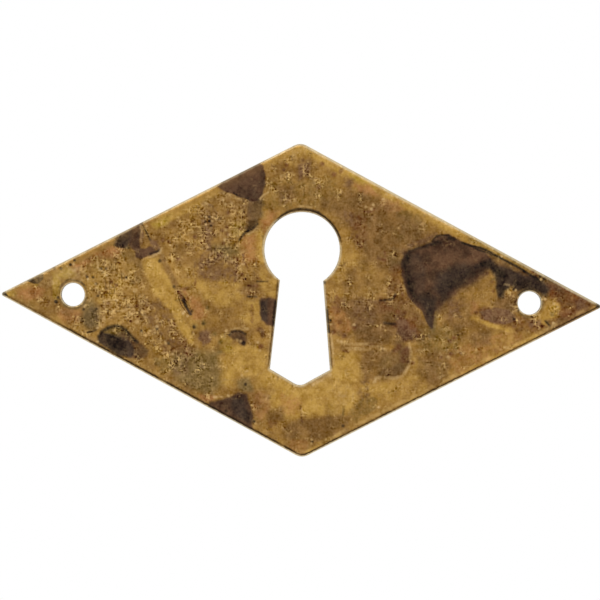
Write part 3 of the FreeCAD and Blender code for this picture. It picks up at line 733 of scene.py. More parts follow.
BELOW_RIGHT: tuple[Mark, ...] = (
    Patch("brown slab", Film.BROWN, ((338, 299), (362, 298), (392, 299), (402, 306), (404, 318), (398, 330),
        (390, 342), (366, 343), (356, 338), (350, 322), (344, 310)), 0.5),
    Patch("plum in the slab", Film.PLUM, ((356, 302), (374, 302), (372, 322), (358, 324)), 0.8, 0.4),
    Patch("tan by the slot", Film.TAN, ((330, 310), (342, 306), (350, 314), (352, 326), (346, 336),
        (333, 330)), 0.6, 0.6),
    Spots("umber by the slot", Film.UMBER, ((335, 302.5), (339, 307.5), (338, 311.3), (354.5, 328),
        (336, 298.5), (340, 322), (333, 332), (344, 336)), 0.24, 0.2, 0.75),
    Streak("shade at the slot", Film.BROWN, ((332, 324), (334, 330), (340, 334), (350, 336)), 0.5, 0.4,
        0.65),
    Spots("lights at the slot", Film.PALE, ((330.5, 317), (331, 324), (354, 324.5), (341.5, 341.5)), 0.12,
        0.14, 0.6),
    Streak("crack over the slab", Film.BLACK, ((380, 300.5), (386, 300), (393, 298.5), (395.5, 294)), 0.2,
        0.16, 0.75),
    Streak("crack in the slab", Film.BLACK, ((384, 323), (390, 323.5), (395, 324)), 0.26, 0.2, 0.75),
    Patch("plum cluster", Film.PLUM, ((397, 318), (408, 321), (410, 328), (417, 330), (418, 338),
        (411, 341), (402, 341), (396, 334))),
    Spots("umber cluster", Film.UMBER, ((400, 322), (404, 325), (408, 331), (412, 337), (415, 333),
        (402, 333), (406, 338), (395, 325), (403, 314)), 0.3, 0.25, 0.75),
    Spots("dark run under the cluster", Film.UMBER, ((399, 347), (404, 352), (406, 356), (403, 360),
        (407.5, 350), (395, 350)), 0.3, 0.25, 0.75),
    Streak("pale scratch", Film.PALE, ((338, 341), (344, 344), (354, 344.5), (366, 343.5), (376, 347),
        (386, 349.5)), 0.2, 0.16, 0.4),
    Streak("short pale scratch", Film.PALE, ((346, 348), (358, 349), (370, 349.5)), 0.2, 0.16, 0.4),
    Streak("dark dash", Film.UMBER, ((343, 351), (348, 351.5)), 0.24, 0.16, 0.85),
    Streak("dark dashes", Film.UMBER, ((366, 345.5), (374, 344.5)), 0.16, 0.14, 0.7),
    Patch("gold by the foot", Film.GOLD, ((333, 353), (350, 353), (359, 356), (360, 368), (358, 380),
        (350, 386), (334, 382), (331, 372)), 0.5),
    Patch("patch brown", Film.BROWN, ((362, 354), (372, 351), (396, 351), (408, 348), (410, 358),
        (405, 370), (397, 376), (382, 376), (374, 380), (366, 378), (361, 366)), 0.3, 0.6),
    Streak("patch shade", Film.STAIN, ((397, 342), (403, 350), (406, 357), (403, 366), (394, 373),
        (384, 375)), 0.7, 0.6, 0.4),
    Patch("patch olive", Film.OLIVE, ((382, 354), (398, 354), (406, 362), (398, 374), (382, 374)), 0.6,
        0.82),
    Streak("patch edge", Film.PALE, ((374.5, 382), (376, 377.5), (384, 377.3), (394, 378), (402, 376),
        (407, 370), (410, 362), (411, 352), (409, 344)), 0.18, 0.16, 0.43),
    Spots("dot by the patch", Film.UMBER, ((413, 363), (408, 362)), 0.2, 0.16, 0.9),
    Patch("upright bands", Film.PLUM, ((360, 382), (366, 380), (368, 392), (366, 398), (360, 394)), 0.5,
        0.4),
    Patch("foot gold", Film.GOLD, ((256, 374), (270, 370), (284, 378), (296, 387), (312, 385), (330, 376),
        (352, 382), (358, 392), (356, 404), (346, 413), (330, 414), (312, 415), (290, 421), (272, 408),
        (258, 394)), 0.7),
    Patch("tan in the foot gold", Film.TAN, ((282, 396), (298, 402), (298, 412), (284, 412)), 0.7, 0.5),
    Patch("gold right of the foot", Film.GOLD, ((384, 384), (402, 378), (418, 378), (410, 390), (394, 400),
        (384, 398)), 0.6, 0.47),
    Patch("bottom smear brown", Film.BROWN, ((284, 428), (300, 422), (322, 418), (342, 416), (350, 419),
        (344, 430), (328, 438), (300, 440), (286, 437)), 0.5, 0.6),
    Streak("upright umber line", Film.UMBER, ((300.5, 406), (301, 414), (302, 422)), 0.16, 0.16, 0.7),
    Streak("upright olive line", Film.OLIVE, ((343.5, 407), (343, 416)), 0.22, 0.18, 0.8),
    Patch("olive smear", Film.OLIVE, ((350, 413), (358, 403), (366, 397), (376, 399), (375, 408),
        (366, 414), (356, 420)), 0.5, 0.55),
    Spots("lights on the low edge", Film.PALE, ((311.5, 439.5), (311.5, 443.5), (378.5, 407.3),
        (326, 439.5)), 0.12, 0.12, 0.8),
    Spots("darks on the low edge", Film.BLACK, ((312, 441.5), (343, 426)), 0.15, 0.14, 0.7),
    Patch("bottom corner tan", Film.TAN, ((290, 441), (306, 441), (306, 450), (300, 453), (290, 449)), 0.4,
        0.5),
    Streak("bottom corner gold", Film.GOLD, ((306, 452), (318, 446), (326, 443)), 0.25, 0.2, 0.8),
    Patch("brown smear", Film.BROWN, ((418, 358), (434, 352), (448, 354), (450, 366), (444, 378),
        (430, 383), (418, 374)), 0.6, 0.6),
    Patch("olive heart of the smear", Film.OLIVE, ((424, 364), (446, 362), (446, 374), (428, 376)), 0.5,
        0.5),
    Patch("olive below the tail", Film.OLIVE, ((418, 330), (446, 326), (460, 334), (456, 350), (432, 352),
        (420, 344)), 0.9, 0.55),
    Patch("brown right of the tail", Film.BROWN, ((438, 306), (470, 302), (470, 322), (458, 332),
        (444, 320)), 0.9, 0.6),
    Patch("plum right of the tail", Film.PLUM, ((450, 302), (460, 302), (460, 318), (451, 318)), 0.6, 0.5),
    Streak("grey arc right of the tail", Film.GREY, ((446, 297), (438, 306), (435, 318), (433, 330)), 0.4,
        0.3, 0.8),
    Patch("brown left of the tail", Film.BROWN, ((400, 298), (412, 302), (420, 312), (424, 326), (412, 322),
        (402, 310)), 0.5, 0.78),
    Spots("umber left of the tail", Film.UMBER, ((403, 294), (404, 313), (398, 312)), 0.28, 0.22, 0.75),
    Patch("tan run on the edge", Film.TAN, ((450, 352), (478, 344), (506, 334), (520, 336), (516, 345),
        (500, 356), (482, 366), (462, 374), (452, 366)), 0.6, 0.4),
    Patch("brown in the run", Film.BROWN, ((470, 332), (488, 332), (490, 344), (474, 346)), 0.5, 0.7),
    Spots("umber at the hook", Film.UMBER, ((476, 312.5), (480.5, 311)), 0.24, 0.18, 0.8),
    Patch("tan above the hook", Film.TAN, ((471, 302), (478, 303), (478, 312), (472, 313)), 0.35, 0.8),
    Spots("lights in the run", Film.PALE, ((457.5, 351.5), (440.5, 354), (443, 375.5), (439.5, 377.5),
        (462, 354), (448.5, 357)), 0.12, 0.14, 0.38),
    Spots("darks in the run", Film.UMBER, ((451, 354), (454, 338), (450, 341), (441, 357.5), (461, 353)),
        0.2, 0.16, 0.8),
    Patch("pits in the run", Film.PITS, ((428, 336), (470, 334), (478, 350), (470, 368), (440, 366),
        (426, 350)), 1, 0.5),
    Streak("light at the low edge", Film.PALE, ((504, 347), (511, 349)), 0.16, 0.14, 0.6),
    Patch("umber in the slab's corner", Film.UMBER, ((378, 298), (392, 298), (393, 312), (380, 312)), 0.4,
        0.65),
    Patch("umber left of the slab", Film.UMBER, ((329, 299), (341, 299), (344, 308), (332, 312)), 0.4, 0.5),
    Patch("gold crumbs by the bottom", Film.GOLD, ((316, 443), (330, 437), (342, 432), (338, 439),
        (322, 446)), 0.2, 0.7),
    Streak("gold low right edge", Film.GOLD, ((462, 373), (500, 354), (536, 336)), 0.4, 0.2),
    Patch("brown strip right of the neck", Film.BROWN, ((362, 268), (396, 268), (400, 292), (372, 300),
        (358, 292)), 0.8, 0.48),
    Patch("gold below the bands", Film.GOLD, ((360, 386), (384, 386), (382, 400), (364, 402)), 0.5, 0.68),
    Patch("curls in the cluster", Film.PITS, ((396, 314), (420, 322), (420, 344), (398, 344)), 0.5, 0.3),
    Patch("umber cluster heart", Film.UMBER, ((397, 318), (411, 319), (416, 330), (404, 336), (397, 330)),
        0.5, 0.85),
    Patch("gold right of the patch", Film.GOLD, ((406, 356), (420, 356), (426, 392), (408, 402)), 0.6,
        0.42),
    Streak("light by the foot", Film.PALE, ((313, 384.5), (330, 374.5)), 0.25, 0.2, 0.6),
    Patch("umber below the tail", Film.UMBER, ((398, 317), (414, 318), (423, 338), (404, 338)), 0.7, 0.75),
    Patch("gold by the low right edge", Film.GOLD, ((486, 350), (500, 330), (513, 330), (508, 349),
        (493, 360)), 0.6, 0.42),
    Patch("pale foot", Film.PALE, ((330, 388), (350, 388), (352, 402), (330, 402)), 0.5, 0.24),
    Streak("brown on the low right edge", Film.BROWN, ((326, 442), (344, 431)), 0.7, 0.4, 0.55),
    Patch("brown right of the foot", Film.BROWN, ((328, 408), (342, 408), (344, 438), (330, 440)), 0.7,
        0.3),
)

# Painted light on the edges: painted highlights along the upper edges, and painted shade with thin painted
# highlights on the keyhole's arc and slot walls.
EDGE_HIGHLIGHTS_AND_SHADE: tuple[Mark, ...] = (
    # Painted highlights along the upper right and upper left edges.
    Streak("light upper right edge", Film.PALE, ((306, 146), (340, 164), (380, 186), (420, 208),
        (452, 226)), 0.35, 0.3, 0.62),
    Streak("gold upper right edge", Film.GOLD, ((306, 149), (340, 168), (380, 190), (420, 212), (470, 239),
        (515, 262)), 0.9, 0.4, 0.8),
    Streak("gold upper left edge", Film.GOLD, ((300, 148), (268, 162)), 0.6, 0.4, 0.7),
    Streak("upper left edge", Film.GOLD, ((212, 189), (160, 215)), 0.4, 0.3, 0.5),
    # Painted shade over the bow's arc, beside it and down the slot's walls, with painted highlights just
    # inside the walls.
    Streak("arc over the bow", Film.BLACK, ((275, 223), (281, 216), (288, 211.5), (296, 209), (304, 208.6),
        (312, 210), (318, 212.3)), 0.2, 0.14, 0.85),
    Streak("arc right of the bow", Film.BLACK, ((318, 212), (325, 217), (331, 223), (336, 230), (340, 238)),
        0.18, 0.12, 0.95),
    Streak("light over the arc", Film.PALE, ((299, 206.3), (305, 206.5), (312, 207.5)), 0.16, 0.14, 0.55),
    Streak("left of the bow", Film.OLIVE, ((263, 236), (263, 250), (266, 264)), 0.14, 0.12, 0.8),
    Streak("left slot wall, top", Film.UMBER, ((279.5, 282), (278, 291), (277, 300)), 0.2, 0.12, 0.7),
    Streak("left slot wall", Film.UMBER, ((274.3, 327), (272.5, 345), (270.5, 368)), 0.2, 0.12, 0.6),
    Streak("light inside the slot wall", Film.PALE, ((270.5, 328), (269, 348), (267.5, 366)), 0.12, 0.14,
        0.4),
    Spots("right neck", Film.BLACK, ((324.3, 282.5),), 0.16, 0.14, 0.8),
    Streak("right slot wall, black", Film.BLACK, ((327, 309), (327.6, 318), (328.4, 326), (328.8, 332)),
        0.26),
    Spots("right slot blob", Film.BLACK, ((330.3, 320.5),), 0.16, 0.12),
    Streak("light inside the right wall", Film.PALE, ((331, 334), (332.5, 345), (333.6, 366)), 0.14, 0.16,
        0.58),
    Streak("right slot wall, low", Film.BLACK, ((329.8, 338), (330.8, 352), (331.8, 368)), 0.14, 0.12,
        0.45),
)

ALL_MARKS: tuple[Mark, ...] = (
    LEFT_POINT + UPPER_LEFT + UPPER_MIDDLE + RIGHT_OF_BOW + GREAT_STAIN + RIGHT_POINT + LOWER_LEFT
    + MIDDLE_LEFT + BELOW_RIGHT + EDGE_HIGHLIGHTS_AND_SHADE
)


@dataclass
class StainMap:
    """Lays the marks of the photograph on the plate, as a measure of cover at every vertex."""

    view: PhotoView
    marks: tuple[Mark, ...] = ALL_MARKS
    stray: float = 0.11
    stray_size: float = 0.7

    def wander(self, spots: np.ndarray) -> np.ndarray:
        """Shifts spots a little this way and that, so that outlines come out uneven.

        Args:
            spots: The spots' x and z in millimetres, a row each.

        Returns:
            The shifted spots.
        """
        shifts = [noise.noise_vector(Vector((x, 0.0, z)) / self.stray_size) for x, z in spots]
        return spots + self.stray * np.array([(shift.x, shift.z) for shift in shifts])

    def cover(self, spots: np.ndarray) -> dict[Film, np.ndarray]:
        """Measures the cover of every film at every spot.

        Args:
            spots: The spots' x and z in millimetres, a row each.

        Returns:
            For each film a value from -1, bare, through 0 at the film's edge, to 1, fully covered.
        """
        strayed = self.wander(spots)
        layers = {film: np.full(len(spots), -1.0) for film in Film}
        for mark in self.marks:
            where = strayed if isinstance(mark, Patch) else spots
            height = np.clip(mark.reach(self.view, where) / mark.soft, -1.0, 2 * mark.cover - 1)
            layers[mark.film] = np.maximum(layers[mark.film], height)
        return layers


@dataclass(frozen=True)
class Step:
    """A smooth step: where it starts and ends, and the results before and after it."""

    start: float
    end: float
    low: float = 0.0
    high: float = 1.0


@dataclass(frozen=True)
class Mottle:
    """A noise: the size of its blotches in millimetres, its finer noises, and how much finer each axis is."""

    size: float
    detail: float = 2.0
    rough: float = 0.5
    stretch: tuple[float, ...] = ()


@dataclass
class Wiring:
    """Adds and joins the nodes of one tree."""

    tree: bpy.types.NodeTree

    def add(self, kind: str, **settings: object) -> bpy.types.Node:
        """Adds a node and sets its properties.

        Args:
            kind: The node's type name.
            settings: The properties to set, by name.

        Returns:
            The new node.
        """
        node = self.tree.nodes.new(kind)
        for name, value in settings.items():
            setattr(node, name, value)
        return node

    def feed(self, socket: Socket, value: Feed) -> None:
        """Links an output to a socket, or sets the socket to a plain value.

        Args:
            socket: The input to feed.
            value: Another node's output, a number or a row of numbers.
        """
        if isinstance(value, Socket):
            self.tree.links.new(value, socket)
        else:
            socket.default_value = value

    def maths(self, operation: str, first: Feed, second: Feed = 0.0, clamp: bool = False) -> Socket:
        """Works out a value from two.

        Args:
            operation: The Math node's operation.
            first: The first value.
            second: The second value.
            clamp: Whether the result is kept between 0 and 1.

        Returns:
            The result.
        """
        node = self.add("ShaderNodeMath", operation=operation, use_clamp=clamp)
        self.feed(node.inputs[0], first)
        self.feed(node.inputs[1], second)
        return node.outputs[0]

    def times(self, first: Feed, *others: Feed) -> Feed:
        """Multiplies values, one after another."""
        for other in others:
            first = self.maths("MULTIPLY", first, other)
        return first

    def plus(self, first: Feed, second: Feed) -> Socket:
        """Adds two values."""
        return self.maths("ADD", first, second)

    def minus(self, first: Feed, second: Feed) -> Socket:
        """Takes the second value from the first."""
        return self.maths("SUBTRACT", first, second)

    def vectors(self, operation: str, *feeds: Feed) -> Socket:
        """Works out a vector.

        Args:
            operation: The Vector Math node's operation.
            feeds: What feeds its inputs, in order.

        Returns:
            The resulting vector.
        """
        node = self.add("ShaderNodeVectorMath", operation=operation)
        for socket, value in zip(node.inputs, feeds):
            self.feed(socket, value)
        return node.outputs[0]

    def ramp(self, value: Feed, step: Step) -> Socket:
        """Turns a value into a smooth step.

        Args:
            value: The value to read.
            step: The step.

        Returns:
            The stepped value.
        """
        node = self.add("ShaderNodeMapRange", interpolation_type="SMOOTHSTEP")
        names = ("Value", "From Min", "From Max", "To Min", "To Max")
        for name, feed in zip(names, (value, step.start, step.end, step.low, step.high)):
            self.feed(node.inputs[name], feed)
        return node.outputs["Result"]

    def between(self, value: Feed, outer: Step, inner: Step) -> Socket:
        """Makes a band that comes in over one step and goes out over another."""
        return self.times(self.ramp(value, outer), self.ramp(value, inner))

    def mix(self, share: Feed, first: Feed, second: Feed) -> Socket:
        """Mixes two colours.

        Args:
            share: How much of the second colour shows.
            first: The colour below.
            second: The colour on top.

        Returns:
            The mixed colour.
        """
        node = self.add("ShaderNodeMix", data_type="RGBA", blend_type="MIX", clamp_factor=True)
        self.feed(node.inputs["Factor"], share)
        self.feed(node.inputs[6], first)
        self.feed(node.inputs[7], second)
        return node.outputs[2]

    def blend(self, share: Feed, first: Feed, second: Feed) -> Socket:
        """Mixes two values.

        Args:
            share: How much of the second value shows.
            first: The value below.
            second: The value on top.

        Returns:
            The mixed value.
        """
        node = self.add("ShaderNodeMix", data_type="FLOAT", clamp_factor=True)
        self.feed(node.inputs["Factor"], share)
        self.feed(node.inputs[2], first)
        self.feed(node.inputs[3], second)
        return node.outputs[0]

    def attribute(self, name: str) -> Socket:
        """Returns the value of one of the piece's own attributes."""
        return self.add("ShaderNodeAttribute", attribute_name=name).outputs["Fac"]

    def noise(self, vector: Feed, mottle: Mottle) -> tuple[Socket, ...]:
        """Adds a noise with three patterns of its own.

        Args:
            vector: The place to read, in millimetres.
            mottle: The noise.

        Returns:
            Three separate patterns, each about the middle value.
        """
        if mottle.stretch:
            vector = self.vectors("MULTIPLY", vector, mottle.stretch)
        node = self.add("ShaderNodeTexNoise")
        self.feed(node.inputs["Vector"], vector)
        node.inputs["Scale"].default_value = 1 / mottle.size
        node.inputs["Detail"].default_value = mottle.detail
        node.inputs["Roughness"].default_value = mottle.rough
        parts = self.add("ShaderNodeSeparateColor")
        self.feed(parts.inputs[0], node.outputs["Color"])
        return tuple(parts.outputs)


def start_group(name: str, inputs: dict[str, float | None], outputs: Sequence[str]
                ) -> tuple[Wiring, dict[str, Socket], dict[str, Socket]]:
    """Starts a shader node group with named sockets.

    Args:
        name: The group's name.
        inputs: Each input's name with its usual value, or None for a vector.
        outputs: The names of the values that it puts out.

    Returns:
        The group's wiring, its inputs' sockets by name, and its outputs' sockets by name.
    """
    tree = bpy.data.node_groups.new(name, "ShaderNodeTree")
    for label, usual in inputs.items():
        kind = "NodeSocketVector" if usual is None else "NodeSocketFloat"
        socket = tree.interface.new_socket(label, in_out="INPUT", socket_type=kind)
        if usual is not None:
            socket.default_value = usual
    for label in outputs:
        tree.interface.new_socket(label, in_out="OUTPUT", socket_type="NodeSocketFloat")
    wiring = Wiring(tree)
    entry = wiring.add("NodeGroupInput")
    leave = wiring.add("NodeGroupOutput")
    return wiring, dict(entry.outputs.items()), dict(leave.inputs.items())


def place_group(wiring: Wiring, group: bpy.types.NodeTree, **values: Feed) -> bpy.types.Node:
    """Places a node group in a tree and feeds it.

    Args:
        wiring: The tree's wiring.
        group: The group to place.
        values: What feeds each input, by name.

    Returns:
        The group's node.
    """
    node = wiring.add("ShaderNodeGroup", node_tree=group)
    for name, value in values.items():
        wiring.feed(node.inputs[name], value)
    return node


@dataclass(frozen=True)
class SurfaceEffects:
    """The node groups that the plate's finishes share."""

    film_edge: bpy.types.NodeTree
    speckle: bpy.types.NodeTree
    curls: bpy.types.NodeTree
    hatching: bpy.types.NodeTree
    edge_swing: ClassVar[float] = 3.2
    edge_step: ClassVar[Step] = Step(-0.9, 0.9)
    speck_step: ClassVar[Step] = Step(0.42, 0.2)
    curl_detail: ClassVar[float] = 1.0
    hollow_step: ClassVar[Step] = Step(0.08, 0.2)
    along: ClassVar[Mottle] = Mottle(1.0, 1.0, 0.5, (0.7, 1.0, 5.5))
    across: ClassVar[Mottle] = Mottle(1.0, 1.0, 0.5, (5.5, 1.0, 0.8))
    scratch_step: ClassVar[Step] = Step(0.0, 0.1)

    @classmethod
    def build(cls) -> "SurfaceEffects":
        """Builds every group once and returns them together."""
        return cls(cls.build_film_edge(), cls.build_speckle(), cls.build_curls(), cls.build_hatching())

    @classmethod
    def build_film_edge(cls) -> bpy.types.NodeTree:
        """Builds the group that turns a film's cover into a mask with a ragged edge.

        Returns:
            The group, with a Cover, a Pattern and a Ragged share as inputs and a Mask as output.
        """
        inputs = {"Cover": -1.0, "Pattern": NOISE_MIDDLE, "Ragged": 0.7}
        wiring, given, result = start_group("film_edge", inputs, ["Mask"])
        swing = wiring.times(wiring.minus(given["Pattern"], NOISE_MIDDLE), cls.edge_swing)
        uneven = wiring.plus(given["Cover"], wiring.times(swing, given["Ragged"]))
        wiring.feed(result["Mask"], wiring.ramp(uneven, cls.edge_step))
        return wiring.tree

    @classmethod
    def build_speckle(cls) -> bpy.types.NodeTree:
        """Builds the group that scatters small round specks.

        Returns:
            The group, with a Vector, a Size and a Share as inputs, and a Mask and each speck's Shade.
        """
        inputs = {"Vector": None, "Size": 1.0, "Share": 0.5}
        wiring, given, result = start_group("speckle", inputs, ["Mask", "Shade"])
        cells = wiring.add("ShaderNodeTexVoronoi", feature="F1")
        wiring.feed(cells.inputs["Vector"], given["Vector"])
        wiring.feed(cells.inputs["Scale"], wiring.maths("DIVIDE", 1.0, given["Size"]))
        parts = wiring.add("ShaderNodeSeparateColor")
        wiring.feed(parts.inputs[0], cells.outputs["Color"])
        spot = wiring.ramp(cells.outputs["Distance"], cls.speck_step)
        kept = wiring.maths("LESS_THAN", parts.outputs[0], given["Share"])
        wiring.feed(result["Mask"], wiring.times(spot, kept))
        wiring.feed(result["Shade"], parts.outputs[1])
        return wiring.tree

    @classmethod
    def build_curls(cls) -> bpy.types.NodeTree:
        """Builds the group that draws fine winding lines.

        Returns:
            The group, with a Vector, a Size and a Width as inputs, and the Line and the Hollow between.
        """
        inputs = {"Vector": None, "Size": 1.0, "Width": 0.04}
        wiring, given, result = start_group("curls", inputs, ["Line", "Hollow"])
        waves = wiring.add("ShaderNodeTexNoise")
        wiring.feed(waves.inputs["Vector"], given["Vector"])
        wiring.feed(waves.inputs["Scale"], wiring.maths("DIVIDE", 1.0, given["Size"]))
        waves.inputs["Detail"].default_value = cls.curl_detail
        off_line = wiring.maths("ABSOLUTE", wiring.minus(waves.outputs["Fac"], NOISE_MIDDLE))
        widths_off = wiring.maths("DIVIDE", off_line, given["Width"])
        wiring.feed(result["Line"], wiring.maths("SUBTRACT", 1.0, widths_off, clamp=True))
        wiring.feed(result["Hollow"], wiring.ramp(off_line, cls.hollow_step))
        return wiring.tree

    @classmethod
    def build_hatching(cls) -> bpy.types.NodeTree:
        """Builds the group that draws short fine scratches along and across the plate.

        Returns:
            The group, with a Vector and a Reach as inputs and Light and Dark masks as outputs.
        """
        wiring, given, result = start_group("hatching", {"Vector": None, "Reach": 0.62}, ["Light", "Dark"])
        along = wiring.noise(given["Vector"], cls.along)
        across = wiring.noise(given["Vector"], cls.across)
        for number, label in enumerate(("Light", "Dark")):
            highest = wiring.maths("MAXIMUM", along[number], across[number])
            wiring.feed(result[label], wiring.ramp(wiring.minus(highest, given["Reach"]), cls.scratch_step))
        return wiring.tree


def start_material(name: str) -> tuple[Wiring, bpy.types.Node, bpy.types.Material]:
    """Starts a material with one shader.

    Args:
        name: The material's name.

    Returns:
        Its wiring, its Principled shader and the material.
    """
    material = bpy.data.materials.new(name)
    material.use_nodes = True
    wiring = Wiring(material.node_tree)
    shader = next(node for node in material.node_tree.nodes if node.type == "BSDF_PRINCIPLED")
    return wiring, shader, material


def place_in_millimetres(wiring: Wiring) -> Socket:
    """Returns the place on the piece in millimetres, in its own frame."""
    place = wiring.add("ShaderNodeTexCoord").outputs["Object"]
    scaled = wiring.add("ShaderNodeVectorMath", operation="SCALE")
    wiring.feed(scaled.inputs[0], place)
    scaled.inputs["Scale"].default_value = 1 / MM
    return scaled.outputs[0]


def add_relief(wiring: Wiring, shader: bpy.types.Node, height: Socket, depth: float) -> None:
    """Gives a shader fine relief.

    Args:
        wiring: The material's wiring.
        shader: The shader to give it to.
        height: The height, of about 0 to 1.
        depth: How deep a height of 1 is, in metres.
    """
    bump = wiring.add("ShaderNodeBump")
    bump.inputs["Strength"].default_value = 1.0
    bump.inputs["Distance"].default_value = depth
    wiring.feed(bump.inputs["Height"], height)
    wiring.feed(shader.inputs["Normal"], bump.outputs["Normal"])


@dataclass(frozen=True)
class Ground:
    """What every detail of the front reads: the place, the shared noises, and where the brass is bare."""

    wiring: Wiring
    place: Socket
    fine: tuple[Socket, ...]
    middling: tuple[Socket, ...]
    bare: Socket
    across: Socket
    up: Socket


@dataclass(frozen=True)
class FineGrain:
    """The grain, curls, scratches and specks of the front, which crowd together in busy places."""

    bright: Colour = BRIGHT_BRASS
    dirt: Colour = shade(60, 33, 15)
    blackest: Colour = shade(16, 10, 6)
    tint: tuple[float, float, float] = (0.24, 0.165, 0.085)
    grit: Mottle = Mottle(0.21, 0.0)
    patchwork: Mottle = Mottle(1.1, 1.0)
    pit_step: Step = Step(-1.0, 1.0)
    lean: Step = Step(-22.0, 4.0, 0.05, -0.03)
    pit_crowding: float = 0.16
    busy: Step = Step(0.49, 0.8)
    grain_swing: tuple[float, float] = (0.55, 1.15)
    grit_swing: tuple[float, float] = (0.46, 2.2)
    swing_on_crust: float = 0.2
    curl_size: float = 0.56
    curl_width: float = 0.05
    light_curls: Step = Step(0.46, 0.56, 0.1, 0.85)
    dark_curls: Step = Step(0.46, 0.56, 0.1, 0.5)
    scratch_reach: float = 0.6
    light_scratches: tuple[float, float] = (0.06, 0.45)
    dark_scratches: tuple[float, float] = (0.08, 0.45)
    speck_size: float = 0.42
    speck_share: float = 0.14
    speck_crowding: float = 0.3
    speck_strength: tuple[float, float] = (0.3, 1.0)
    light_specks: Step = Step(0.6, 0.9)
    dark_specks: Step = Step(0.5, 0.1)
    fine_height: float = 0.6
    middling_height: float = 0.8
    speck_depth: float = 0.5

    def add(self, ground: Ground, effects: SurfaceEffects, colour: Feed) -> tuple[Socket, Socket]:
        """Adds the grain, the curls, the scratches and the specks.

        Args:
            ground: What the details read.
            effects: The shared node groups.
            colour: The colour so far.

        Returns:
            The new colour and the height of the fine relief.
        """
        wiring = ground.wiring
        patchwork = wiring.noise(ground.place, self.patchwork)
        busy = self.find_busy(ground, patchwork[0])
        colour = self.add_grit(ground, busy, colour)
        curls = place_group(wiring, effects.curls, Vector=ground.place, Size=self.curl_size,
                            Width=self.curl_width)
        light_curl = wiring.times(curls.outputs["Line"], busy, ground.bare,
                                  wiring.ramp(patchwork[1], self.light_curls))
        colour = wiring.mix(light_curl, colour, self.bright)
        dark_curl = wiring.times(curls.outputs["Hollow"], busy, wiring.ramp(patchwork[2], self.dark_curls))
        colour = wiring.mix(dark_curl, colour, self.dirt)
        hatching = place_group(wiring, effects.hatching, Vector=ground.place, Reach=self.scratch_reach)
        light_share = wiring.times(hatching.outputs["Light"], ground.bare,
                                   wiring.blend(busy, *self.light_scratches))
        colour = wiring.mix(light_share, colour, self.bright)
        dark_share = wiring.times(hatching.outputs["Dark"], wiring.blend(busy, *self.dark_scratches))
        colour = wiring.mix(dark_share, colour, self.dirt)
        share = wiring.plus(self.speck_share, wiring.times(busy, self.speck_crowding))
        specks = place_group(wiring, effects.speckle, Vector=ground.place, Size=self.speck_size, Share=share)
        strength = wiring.times(specks.outputs["Mask"], wiring.blend(busy, *self.speck_strength))
        light_speck = wiring.times(strength, wiring.ramp(specks.outputs["Shade"], self.light_specks))
        colour = wiring.mix(wiring.times(light_speck, ground.bare), colour, self.bright)
        dark_speck = wiring.times(strength, wiring.ramp(specks.outputs["Shade"], self.dark_specks))
        colour = wiring.mix(dark_speck, colour, self.dirt)
        height = wiring.plus(wiring.times(ground.fine[0], self.fine_height),
                             wiring.times(ground.middling[0], self.middling_height))
        return colour, wiring.minus(height, wiring.times(dark_speck, self.speck_depth))

    def find_busy(self, ground: Ground, pattern: Feed) -> Socket:
        """Finds the busy places: patches of their own, more of them to the left and on the pitting.

        Args:
            ground: What the details read.
            pattern: The pattern of the patches.

        Returns:
            How busy the place is, from 0 to 1.
        """
        wiring = ground.wiring
        pits = wiring.ramp(wiring.attribute(Film.PITS.value), self.pit_step)
        leaning = wiring.plus(pattern, wiring.ramp(ground.across, self.lean))
        return wiring.ramp(wiring.plus(leaning, wiring.times(pits, self.pit_crowding)), self.busy)

    def add_grit(self, ground: Ground, busy: Feed, colour: Feed) -> Socket:
        """Lifts and sinks the colour in fine grains, and keeps it above black.

        Args:
            ground: What the details read.
            busy: How busy the place is.
            colour: The colour so far.

        Returns:
            The new colour.
        """
        wiring = ground.wiring
        grit = wiring.noise(ground.place, self.grit)
        swing = wiring.times(wiring.minus(grit[0], NOISE_MIDDLE), wiring.blend(busy, *self.grit_swing))
        lift = wiring.times(wiring.minus(ground.fine[0], NOISE_MIDDLE), wiring.blend(busy, *self.grain_swing))
        lift = wiring.times(wiring.plus(lift, swing), wiring.blend(ground.bare, self.swing_on_crust, 1.0))
        grained = wiring.vectors("MULTIPLY_ADD", lift, self.tint, colour)
        return wiring.vectors("MAXIMUM", grained, self.blackest[:3])


